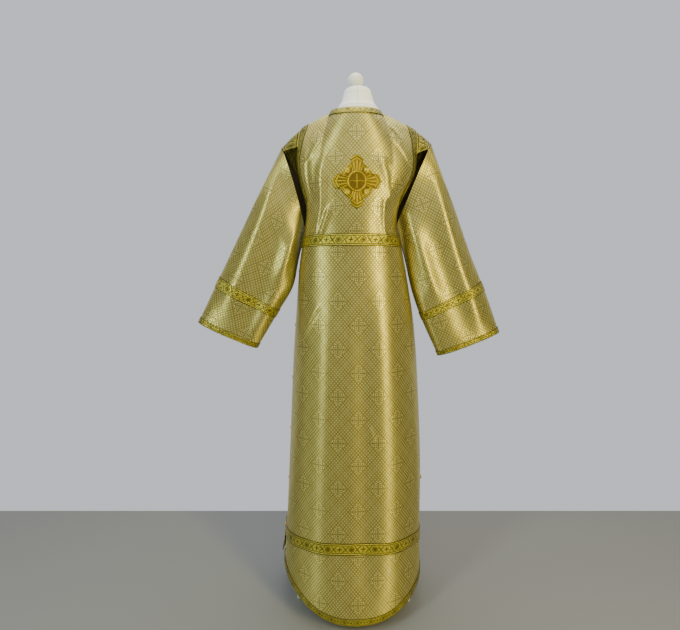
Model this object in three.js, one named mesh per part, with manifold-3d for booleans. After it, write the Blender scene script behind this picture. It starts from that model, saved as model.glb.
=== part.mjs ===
// A sticharion of gold brocade, worn by a limbless dress form on a three-legged stand.
// Millimetres, +Z up.  The back of the robe faces -Y and its front faces +Y.
// The robe is cut as a real one is: two yokes, two skirt panels open down both sides, and two
// wide sleeves sewn on at the shoulder points only.  Every piece of cloth is a thin closed wall.
import * as THREE from 'three';
import { mergeVertices } from 'three/addons/utils/BufferGeometryUtils.js';
import Module from 'manifold-3d';

// ---------------------------------------------------------------- driving dimensions
const CLOTH = 1.8;            // thickness of the brocade with its backing
const GALLOON = 1.4;          // thickness of the woven trims
const SEAM_GAP = 0.3;         // clearance between two sewn pieces

const SEAM = { side: 1094, arch: 6 };               // height of the seam between yoke and skirt
const BAND_HEIGHT = 34;                             // galloon over that seam, and above the hem
const HEM = { lowest: 24, riseLeft: 104, riseRight: 74, power: 2.4 };
const HEM_TRIM = 19;                                // height of the narrow trim on the hem edge
const HEM_BAND = { side: 205, arch: 14 };           // lower edge of the broad band above the hem

const NECK = { halfWidth: 71, sideZ: 1475, share: 0.44 };
const NECK_SIDES = {
  back: { depth: 60, drop: 1 },                     // back of the neck opening
  front: { depth: 78, drop: 52 },                   // front of the neck opening
};
const SHOULDER = { left: { x: 153, z: 1433 }, right: { x: 170, z: 1428 } };
const SHOULDER_ROLL = { power: 3, round: 0.6 };     // how the yoke rolls over the shoulder

// The body by height: how far it reaches to the left and right, back and front, and how far
// its side edges stand apart from the middle plane.
const BODY = [
  { z: 0, left: 227, right: 211, back: 192, front: 198, edge: 9 },
  { z: 100, left: 221, right: 208, back: 177, front: 184, edge: 9 },
  { z: 235, left: 211, right: 205, back: 153, front: 158, edge: 9 },
  { z: 460, left: 199, right: 203, back: 139, front: 138, edge: 9 },
  { z: 780, left: 183, right: 184, back: 129, front: 130, edge: 9 },
  { z: 900, left: 174, right: 171, back: 124, front: 127, edge: 9 },
  { z: 970, left: 169, right: 159, back: 122, front: 125, edge: 10 },
  { z: 1050, left: 161, right: 143, back: 120, front: 122, edge: 20 },
  { z: 1103, left: 152, right: 130, back: 120, front: 120, edge: 33 },
  { z: 1150, left: 143, right: 116, back: 122, front: 119, edge: 45 },
  { z: 1215, left: 139, right: 123, back: 122, front: 118, edge: 56 },
  { z: 1300, left: 161, right: 162, back: 118, front: 116, edge: 58 },
  { z: 1365, left: 166, right: 169, back: 110, front: 112, edge: 58 },
  { z: 1480, left: 150, right: 168, back: 100, front: 106, edge: 58 },
];
const FRONT_LEFT_FLARE = { reach: 9, top: 320, foot: 120 };   // the front's left edge stands wider here
const SECTION_POWER = 0.85;                         // below 1 the section is fuller than an ellipse

// Folds of the body.  "at" is a share of the half width from the middle (minus is left), the fold
// runs from "top" down to "foot" and leans sideways by "lean" over its length.
const FOLDS = [
  { panel: 'back', at: -0.6, lean: -0.1, top: 1360, foot: 1110, width: 0.13, rise: 6 },
  { panel: 'back', at: 0.62, lean: 0.1, top: 1400, foot: 1250, width: 0.12, rise: 6 },
  { panel: 'back', at: 0.44, lean: 0.18, top: 1300, foot: 1110, width: 0.08, rise: 5 },
  { panel: 'back', at: 0.37, lean: 0.17, top: 1290, foot: 1170, width: 0.05, rise: -5 },
  { panel: 'back', at: -0.5, lean: -0.32, top: 985, foot: 850, width: 0.12, rise: 6 },
  { panel: 'back', at: 0.62, lean: 0.22, top: 960, foot: 800, width: 0.1, rise: 4 },
  { panel: 'back', at: 0.3, lean: 0.05, top: 980, foot: 60, width: 0.2, rise: 7 },
  { panel: 'back', at: -0.02, lean: 0.02, top: 1010, foot: 40, width: 0.13, rise: -5 },
  { panel: 'back', at: -0.36, lean: -0.03, top: 940, foot: 60, width: 0.17, rise: 6 },
  { panel: 'front', at: -0.34, lean: -0.05, top: 1020, foot: 60, width: 0.17, rise: 8 },
  { panel: 'front', at: 0.02, lean: -0.02, top: 990, foot: 50, width: 0.14, rise: -6 },
  { panel: 'front', at: 0.4, lean: 0.04, top: 1000, foot: 70, width: 0.16, rise: 8 },
  { panel: 'front', at: -0.55, lean: -0.1, top: 1330, foot: 1110, width: 0.12, rise: 5 },
  { panel: 'front', at: 0.55, lean: 0.12, top: 1340, foot: 1110, width: 0.12, rise: 5 },
];

// Sleeves: rows from the armhole (0) to the cuff (1).  Each row is a flattened ring that reaches
// from a point on the outer edge to one on the inner edge, and is "depth" deep to each side.
// "band" is where its galloon lies.  Its open top swells towards the body by "swell", and its
// "strap" joins it to the yoke: how far down the yoke's edge and round the sleeve it reaches.
const SLEEVES = {
  left: {
    sign: -1,
    rows: [
      { along: 0, outerX: 213, outerZ: 1376, innerX: 150, innerZ: 1158, depth: 50 },
      { along: 0.25, outerX: 277, outerZ: 1249, innerX: 166, innerZ: 1066, depth: 48 },
      { along: 0.5, outerX: 340, outerZ: 1124, innerX: 183, innerZ: 982, depth: 43 },
      { along: 0.75, outerX: 403, outerZ: 1000, innerX: 228, innerZ: 905, depth: 38 },
      { along: 1, outerX: 465, outerZ: 877, innerX: 292, innerZ: 799, depth: 33 },
    ],
    band: [0.725, 0.785],
    swell: { back: 9, front: 28 },
    strap: { back: { yoke: 0.17, sleeve: 30 }, front: { yoke: 0.44, sleeve: 74 } },
  },
  right: {
    sign: 1,
    rows: [
      { along: 0, outerX: 217, outerZ: 1389, innerX: 121, innerZ: 1160, depth: 50 },
      { along: 0.25, outerX: 283, outerZ: 1216, innerX: 144, innerZ: 1070, depth: 48 },
      { along: 0.5, outerX: 336, outerZ: 1078, innerX: 169, innerZ: 966, depth: 43 },
      { along: 0.75, outerX: 385, outerZ: 965, innerX: 202, innerZ: 878, depth: 38 },
      { along: 1, outerX: 430, outerZ: 848, innerX: 250, innerZ: 776, depth: 33 },
    ],
    band: [0.675, 0.735],
    swell: { back: 5, front: 19 },
    strap: { back: { yoke: 0.22, sleeve: 36 }, front: { yoke: 0.4, sleeve: 70 } },
  },
};
// The front half of a sleeve's open top is flatter, and swells most on its underside.
const FRONT_TOP = { flatter: 0.18, under: 0.6 };
const SLEEVE_LAG = 14;        // below the shoulder the sleeves hang this far towards the back
const SLEEVE_FOLDS = [
  { around: 0.9, turn: 0.35, from: 0.04, to: 0.8, width: 0.35, rise: 5 },
  { around: 1.9, turn: -0.25, from: 0.1, to: 1, width: 0.4, rise: -5 },
  { around: -1.2, turn: 0.2, from: 0.1, to: 0.95, width: 0.4, rise: 5 },
  { around: -2.1, turn: 0.2, from: 0.2, to: 1, width: 0.35, rise: -4 },
];
const CUFF_TRIM = 0.968;      // the narrow trim covers the sleeve from here to the cuff
const STRAP = { lift: 2, offYoke: 0.8, flare: 3.2, offSleeve: 0.9 };    // how the straps arch and keep clear

const CROSS = { x: 1, z: 1270, halfWidth: 67.5, halfHeight: 73, thickness: 2.6, gap: 0.6 };
const CROSS_RINGS = [0.36, 0.72, 1];                // rings between its middle and its outline
const CROSS_OUTLINE = [       // one eighth of the cross, from an arm's tip to the diagonal
  { angle: 0, reach: 1 },
  { angle: 9, reach: 0.93 },
  { angle: 17.5, reach: 0.88 },
  { angle: 20, reach: 0.73 },
  { angle: 25, reach: 0.69 },
  { angle: 45, reach: 0.67 },
];
// The beads above the lowest ones ("shown") sit further in, by "inset".
const BUTTON = { radius: 6.5, lowest: 222, spacing: 161, count: 6, inset: 1.6 };
const SHOWN = { left: 1, right: 2 };

// The form's torso: its half widths (x) and depths (y) are shares of the robe's, and it is
// "thinner" besides.  Each share goes from a lower value to an upper one.
const FORM = { bottom: 770, drop: 2.4, seamHalf: 2, thinner: 1.2, waistHeight: 300 };
const FORM_WAIST = { levels: [770, 860, 950, 1030], x: [0.78, 0.87], y: [0.76, 0.85] };
const FORM_CHEST = {
  levels: [0.03, 0.2, 0.38, 0.55, 0.7, 0.81, 0.89, 0.94, 0.975, 1], x: [0.88, 0.985], y: [0.86, 0.9],
};
const NECK_FORM = { foot: 1415, seat: 1523, deep: 0.87, shift: 6 };     // the form's neck stump
const CAP_TOP = 1545;
const KNOB = { radius: 22.5, top: 1583 };
const POLE = { radius: 14, foot: 178 };
const HUB = { radius: 27, bottom: 118, top: 177.7 };

// A leg's outline, drawn from the side: two curves along its top and two back along its underside.
const LEG = { width: 10, reach: 183, root: { low: 132, high: 158 }, foot: 20, sole: 157, angles: [194, 90, 342] };
const LEG_START = HUB.radius + SEAM_GAP;
const LEG_CURVES = {
  top: [{ by: [90, 158, 118, 118], to: [146, 62] }, { by: [158, 38, 170, 24], to: [LEG.reach, LEG.foot] }],
  under: [{ by: [146, 18, 136, 40], to: [126, 62] }, { by: [104, 104, 80, 132], to: [LEG_START, LEG.root.low] }],
};

// ---------------------------------------------------------------- materials
const finish = (color, roughness, metalness) =>
  new THREE.MeshStandardMaterial({ color, roughness, metalness, side: THREE.DoubleSide });
const brocade = () => finish(0xb4a463, 0.5, 0.35);
const galloon = () => finish(0xc7ad3c, 0.45, 0.5);
const embroidery = () => finish(0xb58f2a, 0.45, 0.5);
const brass = () => finish(0xc9a545, 0.3, 0.9);
const jersey = () => finish(0xeeeeec, 0.9, 0);
const whitePaint = () => finish(0xf2f2f0, 0.4, 0);

// ---------------------------------------------------------------- small helpers
const lerp = (a, b, t) => a + (b - a) * t;
const clamp = (t, low, high) => Math.min(high, Math.max(low, t));
const smooth = (t) => clamp(t, 0, 1) ** 2 * (3 - 2 * clamp(t, 0, 1));

// Smooth value of one column of a table whose rows are ordered by "key".
function column(table, key, name, at) {
  const last = table.length - 1;
  let i = 0;
  while (i < last - 1 && at > table[i + 1][key]) i += 1;
  const slope = (k) => {
    const below = table[Math.max(0, k - 1)];
    const above = table[Math.min(last, k + 1)];
    return (above[name] - below[name]) / (above[key] - below[key]);
  };
  const step = table[i + 1][key] - table[i][key];
  const t = clamp((at - table[i][key]) / step, 0, 1);
  const [t2, t3] = [t * t, t * t * t];
  return (2 * t3 - 3 * t2 + 1) * table[i][name] + (t3 - 2 * t2 + t) * step * slope(i)
    + (3 * t2 - 2 * t3) * table[i + 1][name] + (t3 - t2) * step * slope(i + 1);
}

// Evenly spaced values from a to b, both ends included.
const spread = (a, b, count) => Array.from({ length: count + 1 }, (_, i) => lerp(a, b, i / count));

// Unit normal of a surface at (u, v), turned so that it points away from the inside.
function normalAt(surface, u, v, uRange, vRange) {
  const h = 1e-3;
  const along = surface(Math.min(u + h, uRange[1]), v).sub(surface(Math.max(u - h, uRange[0]), v));
  const up = surface(u, Math.min(v + h, vRange[1])).sub(surface(u, Math.max(v - h, vRange[0])));
  return along.cross(up).normalize();
}

// A closed wall over a grid: "outer" and "inner" are rows of points, counter-clockwise when seen
// from outside.  A tube's rows close on themselves, a panel's have two more edges to cap.
function wallGeometry(outer, inner, isTube) {
  const rows = outer.length;
  const columns = outer[0].length;
  const points = [...outer.flat(), ...inner.flat()];
  const index = [];
  const out = (r, c) => r * columns + (c % columns);
  const inn = (r, c) => rows * columns + out(r, c);
  const quad = (a, b, c, d) => index.push(a, b, c, a, c, d);
  const spans = isTube ? columns : columns - 1;
  for (let r = 0; r < rows - 1; r += 1) {
    for (let c = 0; c < spans; c += 1) {
      quad(out(r, c), out(r, c + 1), out(r + 1, c + 1), out(r + 1, c));
      quad(inn(r, c), inn(r + 1, c), inn(r + 1, c + 1), inn(r, c + 1));
    }
  }
  for (let c = 0; c < spans; c += 1) {
    quad(out(0, c + 1), out(0, c), inn(0, c), inn(0, c + 1));
    quad(out(rows - 1, c), out(rows - 1, c + 1), inn(rows - 1, c + 1), inn(rows - 1, c));
  }
  if (!isTube) {
    for (let r = 0; r < rows - 1; r += 1) {
      quad(out(r, 0), out(r + 1, 0), inn(r + 1, 0), inn(r, 0));
      quad(out(r + 1, columns - 1), out(r, columns - 1), inn(r, columns - 1), inn(r + 1, columns - 1));
    }
  }
  const geometry = new THREE.BufferGeometry();
  geometry.setAttribute('position', new THREE.Float32BufferAttribute(points.flatMap((p) => p.toArray()), 3));
  geometry.setIndex(index);
  return geometry;
}

// A wall whose two faces lie "far" and "near" mm outside a panel's surface (minus is inside it).
// It keeps to its own side of the middle plane, where back and front meet.
function layer(surface, us, rows, far, near, ranges, side) {
  const grid = (offset) => rows.map((row) => us.map((u) => {
    const v = typeof row === 'function' ? row(u) : row;
    const point = surface(u, v).addScaledVector(normalAt(surface, u, v, ...ranges), offset);
    point.y = side * Math.max(side * point.y, SEAM_GAP / 2);
    return point;
  }));
  return wallGeometry(grid(far), grid(near), false);
}

const group = new THREE.Group();
function add(name, geometry, material) {
  const mesh = new THREE.Mesh(geometry, material);
  mesh.name = name;
  group.add(mesh);
  return mesh;
}

// ---------------------------------------------------------------- the body of the robe
const SIDES = ['back', 'front'];
const outward = { back: -1, front: 1 };

// u runs across a panel from -1 to 1, counter-clockwise from above: from left to right on the
// back and from right to left on the front, so "across" is the share towards the right.
const across = (panel, u) => (panel === 'back' ? u : -u);

function foldRise(panel, share, z) {
  let rise = 0;
  for (const fold of FOLDS) {
    if (fold.panel === panel) {
      const down = (fold.top - z) / (fold.top - fold.foot);
      const fade = smooth(down / 0.25) * smooth((1.08 - down) / 0.25);
      const offset = (share - fold.at - fold.lean * clamp(down, 0, 1)) / fold.width;
      rise += fold.rise * fade * Math.exp(-offset * offset);
    }
  }
  return rise;
}

const sideReach = (share, z) => column(BODY, 'z', share < 0 ? 'left' : 'right', z);

// How far the section stands off the middle plane: full in the middle, "edge" at its ends.
function sectionDepth(panel, share, z) {
  const edge = column(BODY, 'z', 'edge', z);
  const full = column(BODY, 'z', panel, z);
  return edge + (full - edge) * Math.cos(share * Math.PI / 2) ** SECTION_POWER;
}

const seamZ = (u) => SEAM.side + SEAM.arch * Math.cos(u * Math.PI / 2);

// A skirt panel: an upright wall whose section at each height is half of a full ellipse.
const skirtPoint = (panel) => (u, z) => {
  const share = across(panel, u);
  const { reach: flare, top, foot } = FRONT_LEFT_FLARE;
  const isFlared = panel === 'front' && share < 0;
  const reach = sideReach(share, z) + (isFlared ? flare * smooth((top - z) / (top - foot)) : 0);
  const depth = sectionDepth(panel, share, z) + foldRise(panel, share, z) * Math.cos(share * Math.PI / 2);
  return new THREE.Vector3(reach * Math.sin(share * Math.PI / 2), outward[panel] * depth, z);
};

// The top edge of a yoke: the curve of the neck, and then the straight shoulder seam.
function yokeTop(panel, share) {
  const neck = NECK_SIDES[panel];
  const end = share < 0 ? SHOULDER.left : SHOULDER.right;
  const size = Math.abs(share);
  const sign = Math.sign(share);
  if (size <= NECK.share) {
    const turn = (size / NECK.share) * Math.PI / 2;
    return new THREE.Vector3(
      sign * NECK.halfWidth * Math.sin(turn),
      outward[panel] * Math.max(SEAM_GAP / 2, neck.depth * Math.cos(turn) ** 0.9),
      NECK.sideZ - neck.drop * Math.cos(turn) ** 1.3,
    );
  }
  const t = (size - NECK.share) / (1 - NECK.share);
  return new THREE.Vector3(
    sign * lerp(NECK.halfWidth, end.x, t),
    outward[panel] * SEAM_GAP / 2,
    lerp(NECK.sideZ, end.z, t ** 1.15),
  );
}

// A yoke: v runs from the seam with the skirt (0) to the neck and shoulder (1).  The section goes
// on from the skirt's and rolls over to meet the other yoke along the shoulder.
const yokePoint = (panel) => (u, v) => {
  const share = across(panel, u);
  const top = yokeTop(panel, share);
  const z = lerp(seamZ(u), top.z, v);
  const body = skirtPoint(panel)(u, z);
  const edgeShare = lerp(Math.sin(share * Math.PI / 2), share, 0.15);
  body.x = sideReach(share, z) * edgeShare;
  const roll = (1 - clamp(v, 0, 1) ** SHOULDER_ROLL.power) ** SHOULDER_ROLL.round;
  return new THREE.Vector3(lerp(body.x, top.x, v ** 5), lerp(top.y, body.y, roll), z);
};

const SKIRT_COLUMNS = spread(-1, 1, 26);
const SKIRT_RANGES = [[-1, 1], [0, SEAM.side + SEAM.arch]];
const hemZ = (panel) => (u) => {
  const share = across(panel, u);
  const rise = share < 0 ? HEM.riseLeft : HEM.riseRight;
  return HEM.lowest + rise * Math.abs(Math.sin(share * Math.PI / 2)) ** HEM.power;
};
const hemTrimZ = (panel) => (u) => hemZ(panel)(u) + HEM_TRIM;
const hemBandLow = (u) => HEM_BAND.side + HEM_BAND.arch * Math.cos(u * Math.PI / 2);
const hemBandHigh = (u) => hemBandLow(u) + BAND_HEIGHT;
const skirtTop = (u) => seamZ(u) - SEAM_GAP;
const SKIRT_LEVELS = [340, 460, 590, 720, 810, 880, 945, 1000, 1045];

const YOKE_NECK_COLUMNS = spread(-NECK.share, NECK.share, 8);
const YOKE_EDGE = 0.86;       // the armhole trim covers the yoke from here to its side edge
const YOKE_COLUMNS = [
  -1, -YOKE_EDGE, ...spread(-0.72, -NECK.share, 2), ...YOKE_NECK_COLUMNS.slice(1, -1),
  ...spread(NECK.share, 0.72, 2), YOKE_EDGE, 1,
];
const BAND_TOP = BAND_HEIGHT / (NECK.sideZ - SEAM.side);
const YOKE_LEVELS = [0.22, 0.36, 0.5, 0.63, 0.75, 0.85, 0.915];
const NECKBAND_V = 0.955;
const YOKE_ROWS = [0, BAND_TOP, ...YOKE_LEVELS, NECKBAND_V, 0.982, 1];
const YOKE_RANGES = [[-1, 1], [0, 1]];

const CLOTH_FACES = [0, -CLOTH];                    // outer and inner face, off the drawn surface
const TRIM_FACES = [SEAM_GAP + GALLOON, SEAM_GAP];
for (const panel of SIDES) {
  const skirt = (rows, faces) =>
    layer(skirtPoint(panel), SKIRT_COLUMNS, rows, ...faces, SKIRT_RANGES, outward[panel]);
  const rows = [hemZ(panel), hemTrimZ(panel), hemBandLow, hemBandHigh, ...SKIRT_LEVELS, skirtTop];
  add(`${panel}_skirt`, skirt(rows, CLOTH_FACES), brocade());
  add(`hem_trim_${panel}`, skirt(rows.slice(0, 2), TRIM_FACES), galloon());
  add(`hem_band_${panel}`, skirt(rows.slice(2, 4), TRIM_FACES), galloon());

  const yoke = (columns, levels, faces) =>
    layer(yokePoint(panel), columns, levels, ...faces, YOKE_RANGES, outward[panel]);
  add(`${panel}_yoke`, yoke(YOKE_COLUMNS, YOKE_ROWS, CLOTH_FACES), brocade());
  add(`yoke_band_${panel}`, yoke(YOKE_COLUMNS, YOKE_ROWS.slice(0, 2), TRIM_FACES), galloon());
  add(`neckband_${panel}`, yoke(YOKE_NECK_COLUMNS, YOKE_ROWS.slice(-3), TRIM_FACES), galloon());
  for (const hand of ['left', 'right']) {
    const isFirst = (hand === 'left') === (panel === 'back');
    const columns = isFirst ? YOKE_COLUMNS.slice(0, 2) : YOKE_COLUMNS.slice(-2);
    add(`armhole_trim_${panel}_${hand}`, yoke(columns, YOKE_ROWS.slice(3), TRIM_FACES), galloon());
  }
}

// ---------------------------------------------------------------- sleeves
// u is the angle round the sleeve: 0 on its outer edge, pi on its inner edge, and the back lies
// where the sine is positive.  v runs from the armhole to the cuff.
const sleevePoint = (sleeve) => (angle, v) => {
  const at = (name) => column(sleeve.rows, 'along', name, v);
  const [outerX, outerZ, innerX, innerZ] = ['outerX', 'outerZ', 'innerX', 'innerZ'].map(at);
  const width = new THREE.Vector2(outerX - innerX, outerZ - innerZ);
  const down = new THREE.Vector2(width.y, -width.x).normalize();
  const cosine = Math.cos(angle);
  const sine = Math.sin(angle);
  const reach = 0.5 * Math.sign(cosine) * Math.abs(cosine) ** 0.92;
  let depth = at('depth') * Math.sign(sine) * Math.abs(sine) ** 0.9;
  for (const fold of SLEEVE_FOLDS) {
    const fade = smooth((v - fold.from) / 0.2) * smooth((fold.to + 0.1 - v) / 0.2);
    const offset = (Math.atan2(sine, cosine) - fold.around - fold.turn * v) / fold.width;
    depth += Math.sign(sine) * fold.rise * fade * Math.exp(-offset * offset);
  }
  const near = (1 - v) ** 3;
  let swell = sleeve.swell.back * Math.abs(sine) * near;
  if (sine < 0) {
    swell = sleeve.swell.front * Math.abs(sine) * near * (1 - FRONT_TOP.under * cosine);
    depth *= 1 - FRONT_TOP.flatter * near;
  }
  const x = (outerX + innerX) / 2 + reach * width.x - swell * down.x;
  const z = (outerZ + innerZ) / 2 + reach * width.y - swell * down.y;
  return new THREE.Vector3(sleeve.sign * x, -depth - SLEEVE_LAG * smooth(v / 0.3), z);
};

const RING = 24;
const SLEEVE_RANGES = [[-10, 10], [0, 1]];
const SLEEVE_LEVELS = [0, 0.05, 0.12, 0.22, 0.34, 0.46, 0.58];
for (const [hand, sleeve] of Object.entries(SLEEVES)) {
  const surface = sleevePoint(sleeve);
  const ring = spread(0, 2 * Math.PI, RING).slice(0, -1).map((angle) => -sleeve.sign * angle);
  const rows = [...SLEEVE_LEVELS, ...sleeve.band, 0.88, CUFF_TRIM, 1];
  // Rows run down the sleeve, so they are turned round to keep the faces pointing out.
  const tube = (levels, faces) => {
    const [outer, inner] = faces.map((offset) => [...levels].reverse().map((v) => ring.map((angle) => {
      const normal = normalAt(surface, angle, v, ...SLEEVE_RANGES).multiplyScalar(sleeve.sign);
      return surface(angle, v).addScaledVector(normal, offset);
    })));
    return wallGeometry(outer, inner, true);
  };
  add(`sleeve_${hand}`, tube(rows, CLOTH_FACES), brocade());
  add(`sleeve_band_${hand}`, tube(sleeve.band, TRIM_FACES), galloon());
  add(`cuff_trim_${hand}`, tube([CUFF_TRIM, 1], TRIM_FACES), galloon());

  // The galloon across the shoulder point, from the edges of both yokes to the sleeve's top.
  // Its first share (0) lies at the yoke and its last (1) at the sleeve; s runs from back to front.
  const strap = (share, s) => {
    const panel = s < 0 ? 'back' : 'front';
    const isFirst = (hand === 'left') === (panel === 'back');
    const reach = sleeve.strap[panel];
    const edge = yokePoint(panel)(isFirst ? -1 : 1, 1 - reach.yoke * Math.abs(s));
    const arm = surface(-s * reach.sleeve * Math.PI / 180, 0);
    edge.x += sleeve.sign * (STRAP.offYoke + STRAP.flare * s * s);
    arm.x -= sleeve.sign * STRAP.offSleeve;
    arm.z += STRAP.offSleeve / 2;
    const point = edge.lerp(arm, share);
    point.z += STRAP.lift * Math.sin(Math.PI * share);
    return point;
  };
  const shares = hand === 'left' ? spread(1, 0, 4) : spread(0, 1, 4);
  const steps = spread(-1, 1, 8);
  const strapRanges = [[0, 1], [-1, 1]];
  const turn = hand === 'left' ? -1 : 1;
  const strapGrid = (offset) => steps.map((s) => shares.map((share) => {
    const normal = normalAt(strap, share, s, ...strapRanges).multiplyScalar(turn);
    return strap(share, s).addScaledVector(normal, offset);
  }));
  add(`shoulder_strap_${hand}`, wallGeometry(strapGrid(0), strapGrid(-GALLOON), false), galloon());
}

// ---------------------------------------------------------------- the applied cross
// A raised plate laid on the back yoke, from rings between its middle and its outline.
function crossGeometry() {
  const yoke = yokePoint('back');
  const onYoke = (x, z) => {
    const reach = sideReach(x, z);
    let u = x / reach;
    for (let i = 0; i < 8; i += 1) {
      const guess = lerp(Math.sin(u * Math.PI / 2), u, 0.15);
      u -= (guess - x / reach) / (0.85 * Math.PI / 2);
    }
    const v = (z - seamZ(u)) / (yokeTop('back', u).z - seamZ(u));
    return [u, v];
  };
  const back = CROSS_OUTLINE.slice(1, -1).reverse();
  const quarter = [...CROSS_OUTLINE, ...back.map(({ angle, reach }) => ({ angle: 90 - angle, reach }))];
  const outline = [0, 90, 180, 270].flatMap((turn) => quarter.map(({ angle, reach }) => {
    const a = (angle + turn) * Math.PI / 180;
    return [CROSS.halfWidth * reach * Math.cos(a), CROSS.halfHeight * reach * Math.sin(a)];
  }));
  const rings = CROSS_RINGS;
  const place = (x, z, offset) => {
    const [u, v] = onYoke(CROSS.x + x, CROSS.z + z);
    return yoke(u, v).addScaledVector(normalAt(yoke, u, v, ...YOKE_RANGES), offset);
  };
  const faces = (offset) => [place(0, 0, offset),
    ...rings.flatMap((share) => outline.map(([x, z]) => place(x * share, z * share, offset)))];
  const points = [...faces(CROSS.gap + CROSS.thickness), ...faces(CROSS.gap)];
  const count = outline.length;
  const half = points.length / 2;
  const index = [];
  const at = (ring, i) => 1 + ring * count + (i % count);
  for (let i = 0; i < count; i += 1) {
    index.push(0, at(0, i), at(0, i + 1), half, half + at(0, i + 1), half + at(0, i));
    for (let r = 0; r < rings.length - 1; r += 1) {
      const [a, b, c, d] = [at(r, i), at(r + 1, i), at(r + 1, i + 1), at(r, i + 1)];
      index.push(a, b, c, a, c, d, half + a, half + c, half + b, half + a, half + d, half + c);
    }
    const [a, b] = [at(rings.length - 1, i), at(rings.length - 1, i + 1)];
    index.push(a, half + a, half + b, a, half + b, b);
  }
  const geometry = new THREE.BufferGeometry();
  geometry.setAttribute('position', new THREE.Float32BufferAttribute(points.flatMap((p) => p.toArray()), 3));
  geometry.setIndex(index);
  return geometry;
}
add('back_cross', crossGeometry(), embroidery());

// ---------------------------------------------------------------- bead buttons down both sides
for (const [hand, sign] of [['left', -1], ['right', 1]]) {
  for (let i = 0; i < BUTTON.count; i += 1) {
    const z = BUTTON.lowest + i * BUTTON.spacing;
    const bead = new THREE.SphereGeometry(BUTTON.radius, 8, 6).rotateX(Math.PI / 2);
    const button = add(`button_${hand}_${i + 1}`, mergeVertices(bead.deleteAttribute('normal')
      .deleteAttribute('uv')), brass());
    const stretch = (column(BODY, 'z', 'edge', z) - SEAM_GAP) / BUTTON.radius;
    const inset = CLOTH / 2 + (i < SHOWN[hand] ? 0 : BUTTON.inset);
    button.position.set(sign * (sideReach(sign, z) - inset), 0, z);
    button.scale.set(1, stretch, 1);
  }
}

// ---------------------------------------------------------------- the dress form
const wasm = await Module();
wasm.setup();

function toSolid(geometry) {
  const bare = geometry.clone();
  for (const name of ['normal', 'uv']) {
    if (bare.hasAttribute(name)) bare.deleteAttribute(name);
  }
  const merged = mergeVertices(bare, 1e-4);
  return new wasm.Manifold(new wasm.Mesh({
    numProp: 3,
    vertProperties: new Float32Array(merged.attributes.position.array),
    triVerts: new Uint32Array(merged.index.array),
  }));
}

function fromSolid(solid) {
  const mesh = solid.getMesh();
  const geometry = new THREE.BufferGeometry();
  geometry.setAttribute('position', new THREE.BufferAttribute(mesh.vertProperties, 3));
  geometry.setIndex(new THREE.BufferAttribute(mesh.triVerts, 1));
  return geometry;
}

// The torso follows the inside of the robe: it carries the shoulders and is slimmer below them.
function torsoGeometry() {
  const us = spread(-1, 1, 18);
  const lower = FORM_WAIST.levels.map((z) => {
    const rise = (z - FORM.bottom) / FORM.waistHeight;
    const share = { x: lerp(...FORM_WAIST.x, rise), y: lerp(...FORM_WAIST.y, rise) };
    return { point: (panel, u) => skirtPoint(panel)(u, z), share };
  });
  const upper = FORM_CHEST.levels.map((v) => {
    const share = { x: lerp(...FORM_CHEST.x, v ** 3), y: lerp(...FORM_CHEST.y, v) };
    return { point: (panel, u) => yokePoint(panel)(u, v), share };
  });
  const rings = [...lower, ...upper].map(({ point, share }) => SIDES.flatMap((panel) => us.map((u) => {
    const p = point(panel, u);
    const y = Math.max(FORM.seamHalf, Math.abs(p.y) * share.y - FORM.thinner);
    return new THREE.Vector3(p.x * share.x, outward[panel] * y, p.z - FORM.drop);
  })));
  const count = rings[0].length;
  const index = [];
  const at = (ring, i) => ring * count + (i % count);
  for (let r = 0; r < rings.length - 1; r += 1) {
    for (let i = 0; i < count; i += 1) {
      index.push(at(r, i), at(r, i + 1), at(r + 1, i + 1), at(r, i), at(r + 1, i + 1), at(r + 1, i));
    }
  }
  for (let i = 0; i < us.length - 1; i += 1) {
    const j = count - 1 - i;
    index.push(i, j, j - 1, i, j - 1, i + 1);
    const top = (rings.length - 1) * count;
    index.push(top + i, top + i + 1, top + j - 1, top + i, top + j - 1, top + j);
  }
  const geometry = new THREE.BufferGeometry();
  const flat = rings.flat().flatMap((p) => p.toArray());
  geometry.setAttribute('position', new THREE.Float32BufferAttribute(flat, 3));
  geometry.setIndex(index);
  return geometry;
}

// A turned piece: its profile is a list of [radius, height] that starts and ends on the axis.
const turned = (profile, segments = 20) => new THREE.LatheGeometry(
  profile.map(([r, z]) => new THREE.Vector2(r, z)), segments).rotateX(Math.PI / 2);

// The neck is less deep than wide, and leans a little to the right of the pole.
const neckShaped = (profile) => turned(profile).scale(1, NECK_FORM.deep, 1).translate(NECK_FORM.shift, 0, 0);
const neckStump = neckShaped([
  [0, NECK_FORM.foot], [59, NECK_FORM.foot], [60, 1476], [58, 1486], [52.5, 1493], [48.5, 1498], [45.5, 1505],
  [43, 1512.5], [39.8, NECK_FORM.seat], [0, NECK_FORM.seat],
]);
add('form_torso', fromSolid(toSolid(torsoGeometry()).add(toSolid(neckStump))), jersey());

const capFoot = NECK_FORM.seat + SEAM_GAP;
add('form_cap', neckShaped([
  [0, capFoot], [39.7, capFoot], [37.6, 1531], [34, 1537.5], [27, 1542], [16, CAP_TOP], [0, CAP_TOP],
]), jersey());

const knobFoot = CAP_TOP + SEAM_GAP;
const knobMiddle = KNOB.top - 18;
add('form_knob', turned([
  [0, knobFoot], [10, knobFoot], [9, knobFoot + 1.6], [16, knobFoot + 4.5], [21, knobMiddle - 6],
  [KNOB.radius, knobMiddle], [21, knobMiddle + 7], [16, knobMiddle + 13], [8, KNOB.top - 1], [0, KNOB.top],
]), whitePaint());

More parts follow.
